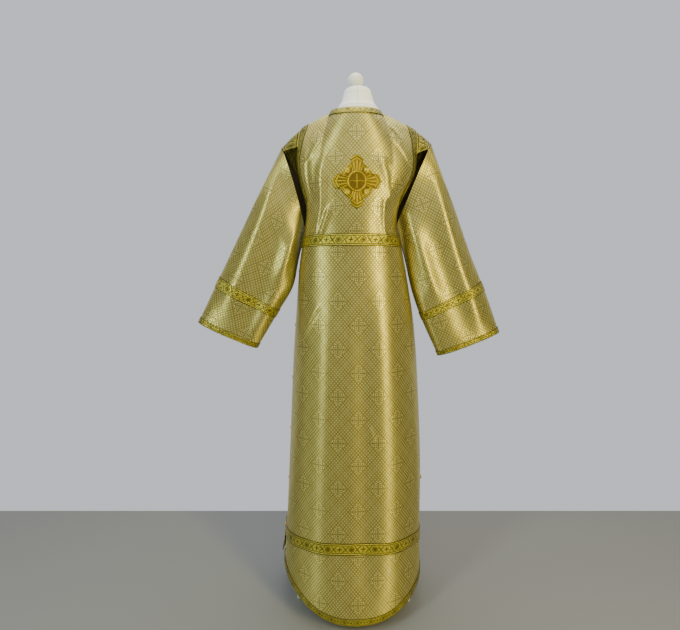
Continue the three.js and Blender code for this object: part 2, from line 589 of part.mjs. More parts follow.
// ---------------------------------------------------------------- the stand
const poleTop = FORM.bottom - FORM.drop - SEAM_GAP;
add('pole', turned([[0, POLE.foot], [POLE.radius, POLE.foot], [POLE.radius, poleTop], [0, poleTop]]), whitePaint());
add('stand_hub', turned([
  [0, HUB.bottom], [HUB.radius - 3, HUB.bottom], [HUB.radius, HUB.bottom + 3], [HUB.radius, HUB.top - 12],
  [POLE.radius + 5, HUB.top], [0, HUB.top],
]), whitePaint());

// A leg: it leaves the hub level, arches down and ends on a flat foot.
function legGeometry() {
  const side = new THREE.Shape();
  side.moveTo(LEG_START, LEG.root.low);
  side.lineTo(LEG_START, LEG.root.high);
  for (const { by, to } of LEG_CURVES.top) side.bezierCurveTo(...by, ...to);
  side.lineTo(LEG.reach, 0);
  side.lineTo(LEG.sole, 0);
  for (const { by, to } of LEG_CURVES.under) side.bezierCurveTo(...by, ...to);
  const leg = new THREE.ExtrudeGeometry(side, { depth: LEG.width, bevelEnabled: false, curveSegments: 6 });
  return leg.translate(0, 0, -LEG.width / 2).rotateX(Math.PI / 2);
}
LEG.angles.forEach((angle, i) => {
  const leg = add(`stand_leg_${i + 1}`, legGeometry(), whitePaint());
  leg.rotation.z = angle * Math.PI / 180;
});

// The origin lies on the floor under the middle of the whole object.
const bounds = new THREE.Box3().setFromObject(group);
const middle = bounds.getCenter(new THREE.Vector3());
group.position.set(-middle.x, -middle.y, 0);

export default group;
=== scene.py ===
"""A sticharion of gold brocade on a limbless dress form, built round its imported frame.

The robe is cut as a real one is: two yokes, two skirt panels open down both sides, and two wide
sleeves sewn on at the shoulder points only.  +X is the wearer's right, the back of the robe faces
-Y and +Z is up.  The tables and surfaces are in millimetres about the stand's pole, and every
mesh is made in metres in the frame's own place.
"""

import math

import bpy
import numpy as np
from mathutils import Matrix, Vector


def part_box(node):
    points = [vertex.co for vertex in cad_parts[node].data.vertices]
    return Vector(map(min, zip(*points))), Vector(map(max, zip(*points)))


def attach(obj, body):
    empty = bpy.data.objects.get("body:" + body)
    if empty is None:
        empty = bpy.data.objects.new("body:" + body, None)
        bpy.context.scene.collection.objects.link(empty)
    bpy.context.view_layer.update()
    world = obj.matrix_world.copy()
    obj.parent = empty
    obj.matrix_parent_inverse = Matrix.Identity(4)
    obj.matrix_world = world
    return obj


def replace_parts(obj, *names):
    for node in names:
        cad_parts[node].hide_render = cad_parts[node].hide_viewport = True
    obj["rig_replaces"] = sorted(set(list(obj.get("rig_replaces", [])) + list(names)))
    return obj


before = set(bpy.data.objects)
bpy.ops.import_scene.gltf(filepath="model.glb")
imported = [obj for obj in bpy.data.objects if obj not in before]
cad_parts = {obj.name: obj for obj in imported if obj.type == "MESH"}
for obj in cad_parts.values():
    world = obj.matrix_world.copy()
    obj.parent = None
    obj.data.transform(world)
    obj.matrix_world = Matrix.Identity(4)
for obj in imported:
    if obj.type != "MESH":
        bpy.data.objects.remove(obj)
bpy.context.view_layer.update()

bl_info = {
    "name": "Sticharion",
    "version": (1, 0, 0),
    "blender": (4, 5, 0),
    "location": "View3D > Sidebar > Sticharion",
    "description": "Builds a gold brocade sticharion on its dress form",
    "category": "Add Mesh",
}

MM = 0.001
POLE_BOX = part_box("pole")
AXIS = np.array([(POLE_BOX[0][i] + POLE_BOX[1][i]) / 2 for i in (0, 1)] + [0.0])

# ---------------------------------------------------------------- sizes, in millimetres
CLOTH = 1.8                   # thickness of the brocade with its backing
SEAM_GAP = 0.3                # clearance between two sewn pieces
SEAM = {"side": 1094, "arch": 6}
BAND_HEIGHT = 34
HEM = {"lowest": 24, "riseLeft": 104, "riseRight": 74, "power": 2.4}
HEM_TRIM = 19
HEM_BAND = {"side": 205, "arch": 14}
NECK = {"halfWidth": 71, "sideZ": 1475, "share": 0.44}
NECK_SIDES = {"back": {"depth": 60, "drop": 1}, "front": {"depth": 78, "drop": 52}}
SHOULDER = {"left": (153, 1433), "right": (170, 1428)}
TOP_POWERS = {"depth": 0.9, "drop": 1.3, "shoulder": 1.15}      # how the yoke's top edge curves
SHOULDER_ROLL = {"power": 3, "round": 0.6, "inward": 5}
SECTION_POWER = 0.85          # below 1 the robe's section is squarer than an ellipse
FRONT_LEFT_FLARE = {"reach": 9, "top": 320, "foot": 120}
OUTWARD = {"back": -1, "front": 1}


def columns(names, *rows):
    """The columns of a table, by name."""
    return dict(zip(names.split(), np.array(rows, float).T))


# How far the body reaches to the left, right, back and front at each height, and how far its
# side edges stand apart from the middle plane.
BODY = columns(
    "key left right back front edge",
    (0, 227, 211, 192, 198, 9),
    (100, 221, 208, 177, 184, 9),
    (235, 211, 205, 153, 158, 9),
    (460, 199, 203, 139, 138, 9),
    (780, 183, 184, 129, 130, 9),
    (900, 174, 171, 124, 127, 9),
    (970, 169, 159, 122, 125, 10),
    (1050, 161, 143, 120, 122, 20),
    (1103, 152, 130, 120, 120, 33),
    (1150, 143, 116, 122, 119, 45),
    (1215, 139, 123, 122, 118, 56),
    (1300, 161, 162, 118, 116, 58),
    (1365, 166, 169, 110, 112, 58),
    (1480, 150, 168, 100, 106, 58),
)

# Folds of the body: panel, at, lean, top, foot, width and rise.  "at" is a share of the half
# width (minus is left); the fold runs from top to foot and leans sideways by "lean".  It fades
# over a share of its length at both ends, and its end is a little below its foot.
FADE = {"over": 0.25, "end": 1.08}
FOLDS = (
    ("back", -0.36, -0.28, 1370, 1105, 0.07, 8),
    ("back", -0.44, -0.24, 1402, 1325, 0.045, 5),
    ("back", -0.62, -0.1, 1420, 1180, 0.05, -5),
    ("back", -0.36, -0.18, 1215, 1105, 0.045, 5),
    ("back", 0.42, 0.46, 1450, 1325, 0.045, 5),
    ("back", 0.44, 0.4, 1408, 1300, 0.04, 5),
    ("back", 0.32, 0.2, 1330, 1240, 0.05, -4),
    ("back", 0.24, 0.34, 1350, 1215, 0.065, 5),
    ("back", 0.45, 0.08, 1245, 1105, 0.07, 6),
    ("back", -0.4, -0.38, 950, 795, 0.055, 8),
    ("back", 0.66, 0.12, 890, 775, 0.045, 5),
    ("back", 0.12, 0.05, 605, 545, 0.022, 2),
    ("back", 0.3, 0.05, 1060, 60, 0.17, 7),
    ("back", 0.08, 0.02, 1010, 40, 0.1, -4),
    ("back", -0.3, -0.03, 1040, 60, 0.13, 6),
    ("back", -0.66, -0.04, 900, 50, 0.12, 4),
    ("back", 0.62, 0.04, 800, 50, 0.1, -4),
    ("front", -0.34, -0.05, 1020, 60, 0.17, 8),
    ("front", 0.02, -0.02, 990, 50, 0.14, -6),
    ("front", 0.4, 0.04, 1000, 70, 0.16, 8),
    ("front", -0.7, -0.04, 860, 60, 0.1, 4),
    ("front", 0.16, 0.06, 640, 560, 0.03, 2),
    ("front", -0.5, -0.16, 1350, 1110, 0.09, 5),
    ("front", 0.5, 0.18, 1360, 1110, 0.09, 5),
    ("front", 0.3, 0.24, 1300, 1200, 0.04, -4),
    ("front", -0.4, -0.3, 940, 800, 0.08, 5),
)

# Sleeves: rows from the armhole (0) to the cuff (1), each a flattened ring between a point on
# the outer edge and one on the inner edge.
SLEEVE_NAMES = "key outerX outerZ innerX innerZ depth"
SLEEVES = {
    "left": {
        "sign": -1,
        "rows": columns(
            SLEEVE_NAMES,
            (0, 213, 1376, 150, 1158, 50),
            (0.25, 277, 1249, 166, 1066, 48),
            (0.5, 340, 1124, 183, 982, 43),
            (0.75, 403, 1000, 228, 905, 38),
            (1, 465, 877, 292, 799, 33),
        ),
        "band": (0.725, 0.785),
        "swell": {"back": 9, "front": 28},
        "strap": {"back": (0.17, 30), "front": (0.44, 74)},
    },
    "right": {
        "sign": 1,
        "rows": columns(
            SLEEVE_NAMES,
            (0, 217, 1389, 121, 1160, 50),
            (0.25, 283, 1216, 144, 1070, 48),
            (0.5, 336, 1078, 169, 966, 43),
            (0.75, 385, 965, 202, 878, 38),
            (1, 430, 848, 250, 776, 33),
        ),
        "band": (0.675, 0.735),
        "swell": {"back": 5, "front": 19},
        "strap": {"back": (0.22, 36), "front": (0.4, 70)},
    },
}
FRONT_TOP = {"flatter": 0.18, "under": 0.6, "fade": 3}      # the front of a sleeve's open top
SLEEVE_LAG = {"reach": 14, "by": 0.3}           # a sleeve hangs this far behind its armhole
SLEEVE_POWERS = {"wide": 0.92, "deep": 0.9}     # below 1 its section is squarer than an ellipse

# Folds of the sleeves: hand, around, turn, from, to, width and rise.  A fold fades over a share
# of the sleeve's length at both ends, and ends a little past its own end.
SLEEVE_FADE = {"over": 0.2, "past": 0.1}
SLEEVE_FOLDS = (
    ("left", 0.85, 0.4, 0.02, 0.85, 0.3, 7),
    ("left", 1.5, 0.5, 0.15, 0.95, 0.3, -6),
    ("left", 2.45, -0.7, 0.0, 0.5, 0.24, 8),
    ("left", 2.5, -0.2, 0.5, 0.95, 0.3, 5),
    ("right", 0.9, 0.3, 0.02, 0.9, 0.3, 7),
    ("right", 1.6, -0.15, 0.08, 0.95, 0.3, -6),
    ("right", 2.2, -0.4, 0.0, 0.6, 0.24, 7),
    ("right", 2.5, 0.1, 0.45, 0.9, 0.3, 4),
    ("left", -1.2, 0.2, 0.1, 0.95, 0.35, 5),
    ("left", -2.1, 0.2, 0.2, 1, 0.3, -4),
    ("right", -1.2, 0.2, 0.1, 0.95, 0.35, 5),
    ("right", -2.1, 0.2, 0.2, 1, 0.3, -4),
)
CUFF_TRIM = 0.968
EVEN = 0.15                   # how far the yoke's columns are spaced evenly, not as on an ellipse
YOKE_EDGE = 0.86              # the armhole trim covers the yoke from here to its side edge
ARMHOLE_TRIM_FOOT = 0.36
NECKBAND_FOOT = 0.955
STRAP = {"lift": 2, "onYoke": 0.8, "onSleeve": 0.9}      # sewn on, it laps over both edges

CROSS = {"x": 1, "z": 1270, "halfWidth": 67.5, "halfHeight": 73, "thickness": 2.6, "gap": 0.6}
CROSS_OUTLINE = columns(      # one eighth of the cross, from an arm's tip to the diagonal
    "angle reach", (0, 1), (9, 0.93), (17.5, 0.88), (20, 0.73), (25, 0.69), (45, 0.67)
)

# The cross's relief in shares of its reach and rise.  Cords: what their place is measured from,
# the place, the width and the rise.
CORDS = (
    ("edge", 0.95, 0.03, 1), ("edge", 0.83, 0.035, 0.8), ("curl", 0.065, 0.03, 0.9),
    ("curl", 0, 0.025, 0.5), ("middle", 0.345, 0.022, 1),
)
CURL = 0.38                   # how far out the curls between the arms lie
RAYS = {"outer": 0.8, "inner": 0.36, "angle": 27, "count": 16, "rise": 0.7}
THIN_CROSS = {"reach": 0.27, "width": 0.018, "rise": 0.7}
RELIEF = 1.3                  # millimetres that a full rise stands up

BUTTON = {"radius": 6.5, "lowest": 222, "spacing": 161, "count": 6, "inset": 1.6, "outset": 1.2}
SHOWN = {"left": 1, "right": 2}                 # the lowest beads, which sit further out
FORM = {"bottom": 770, "waist": 1060, "rise": 300, "drop": 2.4, "seamHalf": 2, "clear": 1.2}
FORM_RINGS = {"hip": 22, "chest": 44, "first": 0.03, "crowd": 1.3}      # closer towards the neck
FORM_SHARES = {               # the form's share of the robe's width and depth, at foot and top
    "hipWide": (0.78, 0.87),
    "hipDeep": (0.76, 0.85),
    "chestWide": (0.88, 0.985),
    "chestDeep": (0.86, 0.9),
}


# ---------------------------------------------------------------- surfaces
def lerp(a, b, t):
    """The value a share t of the way from a to b."""
    return a + (b - a) * t


def smooth(t):
    """A soft step from 0 to 1: three squares less two cubes."""
    t = np.clip(t, 0, 1)
    return t * t * (3 - 2 * t)


def bell(x, middle, width):
    """A bell curve of height 1 about middle."""
    return np.exp(-(((x - middle) / width) ** 2))


def column(rows, name, at):
    """Smooth value of a table's column: cubic pieces that share the slopes over their ends."""
    keys, values = rows["key"], rows[name]
    count = len(keys)
    below = np.maximum(np.arange(count) - 1, 0)
    above = np.minimum(np.arange(count) + 1, count - 1)
    slopes = (values[above] - values[below]) / (keys[above] - keys[below])
    i = np.clip(np.searchsorted(keys, at) - 1, 0, count - 2)
    step = keys[i + 1] - keys[i]
    t = np.clip((at - keys[i]) / step, 0, 1)
    t2, t3 = t * t, t * t * t
    return (
        (2 * t3 - 3 * t2 + 1) * values[i]
        + (t3 - 2 * t2 + t) * step * slopes[i]
        + (3 * t2 - 2 * t3) * values[i + 1]
        + (t3 - t2) * step * slopes[i + 1]
    )


def across(panel, u):
    """The share of the half width, minus on the left: u runs the other way on the front."""
    return u if panel == "back" else -u


def fold_rise(panel, share, z):
    """How far the panel's folds stand out: bells across each fold that fade at its ends."""
    rise = np.zeros(np.broadcast(share, z).shape)
    for owner, at, lean, top, foot, width, height in FOLDS:
        if owner == panel:
            down = (top - z) / (top - foot)
            fade = smooth(down / FADE["over"]) * smooth((FADE["end"] - down) / FADE["over"])
            rise += height * fade * bell(share, at + lean * np.clip(down, 0, 1), width)
    return rise


def side_reach(share, z):
    """How far the body reaches sideways at a height, on the side of that share."""
    return np.where(share < 0, column(BODY, "left", z), column(BODY, "right", z))


def seam_z(u):
    """The height of the seam between yoke and skirt: a low arch."""
    return SEAM["side"] + SEAM["arch"] * np.cos(u * np.pi / 2)


def skirt(panel):
    """An upright wall: each level is half of a full ellipse, moved out and in by its folds."""

    def point(u, z):
        share = across(panel, u)
        flare = FRONT_LEFT_FLARE
        wide = smooth((flare["top"] - z) / (flare["top"] - flare["foot"])) * flare["reach"]
        reach = side_reach(share, z) + (wide * (share < 0) if panel == "front" else 0)
        turn = share * np.pi / 2
        middle = np.maximum(np.cos(turn), 0)
        edge = column(BODY, "edge", z)
        depth = edge + (column(BODY, panel, z) - edge) * middle**SECTION_POWER
        depth = depth + fold_rise(panel, share, z) * middle
        return np.stack([reach * np.sin(turn), OUTWARD[panel] * depth, z + 0 * u], -1)

    return point


def yoke_top(panel, share):
    """The top edge of a yoke: the curve of the neck, then the straight shoulder seam."""
    neck = NECK_SIDES[panel]
    size, sign = np.abs(share), np.sign(share)
    turn = np.minimum(size / NECK["share"], 1) * np.pi / 2
    middle = np.maximum(np.cos(turn), 0)
    t = np.clip((size - NECK["share"]) / (1 - NECK["share"]), 0, 1)
    end = [np.where(share < 0, SHOULDER["left"][i], SHOULDER["right"][i]) for i in (0, 1)]
    at_neck = size <= NECK["share"]
    x = sign * np.where(at_neck, NECK["halfWidth"] * np.sin(turn), lerp(NECK["halfWidth"], end[0], t))
    deep = neck["depth"] * middle ** TOP_POWERS["depth"]
    y = OUTWARD[panel] * np.maximum(SEAM_GAP / 2, deep * at_neck)
    neck_z = NECK["sideZ"] - neck["drop"] * middle ** TOP_POWERS["drop"]
    z = np.where(at_neck, neck_z, lerp(NECK["sideZ"], end[1], t ** TOP_POWERS["shoulder"]))
    return x, y, z


def yoke(panel):
    """A yoke: the skirt's section goes on and rolls over to the neck and the shoulder seam."""

    def point(u, v):
        share = across(panel, u)
        top_x, top_y, top_z = yoke_top(panel, share)
        z = lerp(seam_z(u), top_z, v)
        body = skirt(panel)(u, z)
        x = side_reach(share, z) * lerp(np.sin(share * np.pi / 2), share, EVEN)
        roll = (1 - np.clip(v, 0, 1) ** SHOULDER_ROLL["power"]) ** SHOULDER_ROLL["round"]
        inward = v ** SHOULDER_ROLL["inward"]
        return np.stack([lerp(x, top_x, inward), lerp(top_y, body[..., 1], roll), z], -1)

    return point


def hem_z(panel):
    """The height of the hem, which rises from the middle to both side openings."""

    def height(u):
        share = across(panel, u)
        rise = np.where(share < 0, HEM["riseLeft"], HEM["riseRight"])
        return HEM["lowest"] + rise * np.abs(np.sin(share * np.pi / 2)) ** HEM["power"]

    return height


def band_z(u):
    """The lower edge of the broad band above the hem: a low arch."""
    return HEM_BAND["side"] + HEM_BAND["arch"] * np.cos(u * np.pi / 2)


def sleeve_surface(hand):
    """A tapering flattened tube: round it goes an angle from the outer edge, down it a share."""
    sleeve = SLEEVES[hand]
    rows = sleeve["rows"]

    def point(turned, v):
        angle = turned * sleeve["sign"]
        outer_x, outer_z = column(rows, "outerX", v), column(rows, "outerZ", v)
        inner_x, inner_z = column(rows, "innerX", v), column(rows, "innerZ", v)
        wide_x, wide_z = outer_x - inner_x, outer_z - inner_z
        size = np.hypot(wide_x, wide_z)
        cosine, sine = np.cos(angle), np.sin(angle)
        reach = np.sign(cosine) * np.abs(cosine) ** SLEEVE_POWERS["wide"] / 2
        depth = column(rows, "depth", v) * np.sign(sine) * np.abs(sine) ** SLEEVE_POWERS["deep"]
        around, over = np.arctan2(sine, cosine), SLEEVE_FADE["over"]
        for owner, at, turn, start, end, width, rise in SLEEVE_FOLDS:
            if owner == hand:
                fade = smooth((v - start) / over) * smooth((end + SLEEVE_FADE["past"] - v) / over)
                depth = depth + np.sign(sine) * rise * fade * bell(around, at + turn * v, width)
        near, front = (1 - v) ** FRONT_TOP["fade"], sine < 0
        under = sleeve["swell"]["front"] * (1 - FRONT_TOP["under"] * cosine)
        swell = np.where(front, under, sleeve["swell"]["back"]) * np.abs(sine) * near
        depth = depth * (1 - FRONT_TOP["flatter"] * near * front)
        x = (outer_x + inner_x) / 2 + reach * wide_x - swell * wide_z / size
        z = (outer_z + inner_z) / 2 + reach * wide_z + swell * wide_x / size
        lag = SLEEVE_LAG["reach"] * smooth(v / SLEEVE_LAG["by"])
        return np.stack([sleeve["sign"] * x, -depth - lag, z], -1)

    return point


def strap_surface(hand):
    """A ruled surface over the shoulder point, from the edges of both yokes to the sleeve."""
    sign, strap = SLEEVES[hand]["sign"], SLEEVES[hand]["strap"]

    def point(share, s):
        ends = {}
        for panel in OUTWARD:
            first = (hand == "left") == (panel == "back")
            down = 1 - strap[panel][0] * np.abs(s)
            ends[panel] = yoke(panel)(np.full_like(s, -1.0 if first else 1.0), down)
        back = s < 0
        edge = np.where(back[..., None], ends["back"], ends["front"])
        turn = np.radians(np.where(back, strap["back"][1], strap["front"][1]))
        arm = sleeve_surface(hand)(-s * turn * sign, np.zeros_like(s))
        edge = edge - np.array([sign * STRAP["onYoke"], 0, 0])
        arm = arm + np.array([sign * STRAP["onSleeve"], 0, 0])
        made = lerp(edge, arm, share[..., None])
        made[..., 2] += STRAP["lift"] * np.sin(np.pi * share)
        return made

    return point


# ---------------------------------------------------------------- meshes
def normals(surface, u, v, u_range, v_range, step):
    """Unit normals: the cross product of the steps along u and along v."""
    du, dv = step
    low_u, high_u = np.clip(u - du, *u_range), np.clip(u + du, *u_range)
    low_v, high_v = np.clip(v - dv, *v_range), np.clip(v + dv, *v_range)
    cross = np.cross(surface(high_u, v) - surface(low_u, v), surface(u, high_v) - surface(u, low_v))
    return cross / np.maximum(np.linalg.norm(cross, axis=-1, keepdims=True), 1e-12)


def arc(points, axis, start):
    """Length along the rows or columns of a grid, counted from the index start."""
    steps = np.linalg.norm(np.diff(points, axis=axis), axis=-1)
    total = np.concatenate([np.zeros_like(np.take(steps, [0], axis)), np.cumsum(steps, axis)], axis)
    return total - np.take(total, [start], axis)


SHARP = {"cloth": 50, "stand": 40}              # degrees at which an edge stays sharp


def build_mesh(name, points, corners, uv):
    """A smooth mesh in metres from points in millimetres; uv holds one pair for each corner."""
    mesh = bpy.data.meshes.new(name)
    mesh.from_pydata((points * MM + AXIS).tolist(), [], corners.tolist())
    layer = mesh.uv_layers.new(name="UVMap")
    layer.data.foreach_set("uv", np.ascontiguousarray(uv, np.float32).ravel())
    mesh.shade_smooth()
    mesh.set_sharp_from_angle(angle=math.radians(SHARP["cloth"]))
    return mesh


def wall_mesh(name, outer, inner, uv, tube=False):
    """A closed wall between two grids of points whose faces are capped along every free edge."""
    count, wide = outer.shape[:2]
    spans = wide if tube else wide - 1
    r, c = np.meshgrid(np.arange(count - 1), np.arange(spans), indexing="ij")
    r, c = r.ravel(), c.ravel()
    near, far = np.arange(spans), np.zeros(spans, int)

    def quads(*corners):
        """Faces whose corners are given by row, column and side (0 outer, 1 inner)."""
        return np.stack([np.stack([i, j, np.full_like(i, side)], -1) for i, j, side in corners], 1)

    faces = [
        quads((r, c, 0), (r, c + 1, 0), (r + 1, c + 1, 0), (r + 1, c, 0)),
        quads((r, c, 1), (r + 1, c, 1), (r + 1, c + 1, 1), (r, c + 1, 1)),
        quads((far, near + 1, 0), (far, near, 0), (far, near, 1), (far, near + 1, 1)),
    ]
    last = far + count - 1
    faces.append(quads((last, near, 0), (last, near + 1, 0), (last, near + 1, 1), (last, near, 1)))
    if not tube:
        up, zero = np.arange(count - 1), np.zeros(count - 1, int)
        end = zero + wide - 1
        faces.append(quads((up, zero, 0), (up + 1, zero, 0), (up + 1, zero, 1), (up, zero, 1)))
        faces.append(quads((up + 1, end, 0), (up, end, 0), (up, end, 1), (up + 1, end, 1)))
    table = np.concatenate(faces)
    vertex = table[..., 2] * count * wide + table[..., 0] * wide + table[..., 1] % wide
    points = np.concatenate([outer.reshape(-1, 3), inner.reshape(-1, 3)])
    pairs = uv[table[..., 0], table[..., 1]].reshape(-1, 2)
    mesh = build_mesh(name, points, vertex, pairs)
    mesh["inner_faces"] = [len(r), 2 * len(r)]
    return mesh


def link(name, data):
    """A new object in the scene."""
    made = bpy.data.objects.new(name, data)
    bpy.context.scene.collection.objects.link(made)
    return made


def piece(node, slot, mesh, material):
    """Links a mesh as an object that stands for a node of the frame; brocade has a lining inside, darkened
    as painted shade.
    """
    made = link(mesh.name, mesh)
    mesh.materials.append(material)
    if slot == "brocade":
        mesh.materials.append(shared_material("robe_lining_painted_shade"))
        which = np.zeros(len(mesh.polygons), np.int32)
        which[slice(*mesh["inner_faces"])] = 1
        mesh.polygons.foreach_set("material_index", which)
    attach(made, "root")
    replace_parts(made, node)
    return made


def panel_piece(node, slot, material, panel, form, u_ends, v_ends, grid, offsets, uv_of):
    """A wall over part of a panel, whose form is skirt or yoke.

    Its rows run between the two curves v_ends and its columns across u_ends; the two faces lie
    the two offsets outside the surface.
    """
    surface, side = form(panel), OUTWARD[panel]
    u, t = np.meshgrid(np.linspace(*u_ends, grid[0] + 1), np.linspace(0, 1, grid[1] + 1))
    v = lerp(v_ends[0](u), v_ends[1](u), t)
    normal = normals(surface, u, v, *CUTS[form])
    faces = []
    for offset in offsets:
        points = surface(u, v) + normal * offset
        points[..., 1] = side * np.maximum(side * points[..., 1], SEAM_GAP / 2)
        faces.append(points)
    return piece(node, slot, wall_mesh(f"{node}_{slot}", *faces, uv_of(faces[0])), material)


def cloth_uv(start_row, turn, phase):
    """Pattern places of a cloth panel: metres from its middle column and from its start row."""

    def places(points):
        middle = points.shape[1] // 2
        along = arc(points, 1, middle) * MM * turn
        down = arc(points, 0, start_row) * MM
        return np.stack([along + phase[0], down + phase[1]], -1)

    return places


def sleeve_uv(points):
    """Pattern places of a sleeve: metres down its middle line, and round it square to that line."""
    middle = points.shape[1] // 4
    line = points[-1, middle] - points[0, middle]
    down = points @ (line / np.linalg.norm(line))
    steps = np.linalg.norm(np.diff(points, axis=1), axis=-1) ** 2 - np.diff(down, axis=1) ** 2
    along = np.concatenate([np.zeros_like(down[:, :1]), np.cumsum(np.sqrt(np.maximum(steps, 0)), 1)], 1)
    return np.stack([along - along[:, middle:middle + 1], down], -1) * MM


def trim_uv(width, lengthwise=1):
    """Pattern places of a trim: metres along it, and its own width stretched to "width"."""

    def places(points):
        along = arc(points, lengthwise, 0) * MM
        side = arc(points, 1 - lengthwise, 0)
        total = side.max(axis=1 - lengthwise, keepdims=True)
        return np.stack([along, (side / total - 0.5) * width], -1)

    return places


# ---------------------------------------------------------------- materials
def by(operation):
    """A method of Number that does one operation of the maths node."""
    return lambda number, *others: number.do(operation, *others)


class Number:
    """A number made by shader nodes, which takes part in ordinary arithmetic."""

    __add__, __sub__, __mul__ = by("ADD"), by("SUBTRACT"), by("MULTIPLY")
    __truediv__, __pow__, __abs__ = by("DIVIDE"), by("POWER"), by("ABSOLUTE")
    fract, cosine, most, least = by("FRACT"), by("COSINE"), by("MAXIMUM"), by("MINIMUM")

    def __init__(self, graph, socket):
        self.graph, self.socket = graph, socket

    def do(self, operation, *others, clamp=False):
        node = self.graph.nodes.new("ShaderNodeMath")
        node.operation, node.use_clamp = operation, clamp
        for i, value in enumerate((self, *others)):
            self.graph.put(node.inputs[i], value)
        return Number(self.graph, node.outputs[0])

    def times(self, factor):
        """The product, kept from 0 to 1."""
        return self.do("MULTIPLY", factor, clamp=True)

    def below(self, limit, soft):
        """1 below the limit, fading to 0 over soft beyond it."""
        return ((self - limit) / -soft + 1).do("ADD", 0.0, clamp=True)

    def near(self, middle, half, soft):
        """1 within half of middle, fading to 0 over soft beyond it."""
        return abs(self - middle).below(half, soft)

    def thread(self, count, half=0.3, soft=0.2):
        """A thread in the middle of each of count steps in a metre."""
        return (self * count).fract().near(0.5, half, soft)


class Tree:
    """Adds nodes to a node tree and joins them up."""

    def __init__(self, tree):
        self.nodes, self.links = tree.nodes, tree.links

    def put(self, socket, value):
        """Joins a number or an output to a socket, or sets the socket to a plain value."""
        if isinstance(value, Number):
            value = value.socket
        if isinstance(value, bpy.types.NodeSocket):
            self.links.new(value, socket)
        else:
            socket.default_value = value

    def places(self, source="UV"):
        """The pattern places or the object coordinates, three numbers in metres."""
        split = self.nodes.new("ShaderNodeSeparateXYZ")
        self.links.new(self.nodes.new("ShaderNodeTexCoord").outputs[source], split.inputs[0])
        return [Number(self, split.outputs[i]) for i in range(3)]

    def noise(self, scales, detail=3.0, source="UV"):
        """Soft noise from 0 to 1 whose grain differs along each direction."""
        coordinates = self.nodes.new("ShaderNodeTexCoord")
        stretch = self.nodes.new("ShaderNodeMapping")
        stretch.inputs["Scale"].default_value = scales
        self.links.new(coordinates.outputs[source], stretch.inputs["Vector"])
        noise = self.nodes.new("ShaderNodeTexNoise")
        noise.inputs["Scale"].default_value = 1.0
        noise.inputs["Detail"].default_value = detail
        self.links.new(stretch.outputs[0], noise.inputs["Vector"])
        return Number(self, noise.outputs["Fac"])

    def attribute(self, name):
        """A number stored on the mesh."""
        node = self.nodes.new("ShaderNodeAttribute")
        node.attribute_name = name
        return Number(self, node.outputs["Fac"])

    def mix(self, share, a, b):
        """The colour a share of the way from a to b."""
        node = self.nodes.new("ShaderNodeMix")
        node.data_type = "RGBA"
        self.put(node.inputs["Factor"], share)
        self.put(node.inputs[6], a if isinstance(a, bpy.types.NodeSocket) else (*a, 1))
        self.put(node.inputs[7], b if isinstance(b, bpy.types.NodeSocket) else (*b, 1))
        return node.outputs[2]


class Graph(Tree):
    """The node tree of a new material."""

    def __init__(self, name, roughness, metallic=0, **sockets):
        self.material = bpy.data.materials.new(name)
        self.material.use_nodes = True
        super().__init__(self.material.node_tree)
        self.set(Roughness=roughness, Metallic=metallic, **sockets)

    def set(self, **sockets):
        """Sets or joins the shader's sockets of those names."""
        for socket, value in sockets.items():
            self.put(self.nodes["Principled BSDF"].inputs[socket.replace("_", " ")], value)

    def finish(self, colour, height=None, distance=0, strength=0, **sockets):
        """Joins colour, relief and any other socket to the shader and gives the material."""
        self.set(Base_Color=colour, **sockets)
        if height is not None:
            bump = self.nodes.new("ShaderNodeBump")
            bump.inputs["Distance"].default_value = distance
            bump.inputs["Strength"].default_value = strength
            self.put(bump.inputs["Height"], height)
            self.set(Normal=bump.outputs[0])
        return self.material


# The brocade's repeat is in metres; its star is in millimetres.  Diagonals: steps in a repeat, and
# the half width and soft edge of each as shares of a step.
REPEAT = (0.115, 0.134)
STAR = {"reach": 20, "line": 0.6, "upright": 15, "level": 25, "spokes": 8, "rings": 0.95, "gap": 0.15}
DIAGONALS = {"mesh": (12, 0.12, 0.1), "bold": (4, 0.035, 0.03), "edge": (1, 0.016, 0.012)}
DOT = (0.16, 0.14)
UPRIGHT_SHEEN = {"Anisotropic": 0.8, "Anisotropic_Rotation": 0.25}


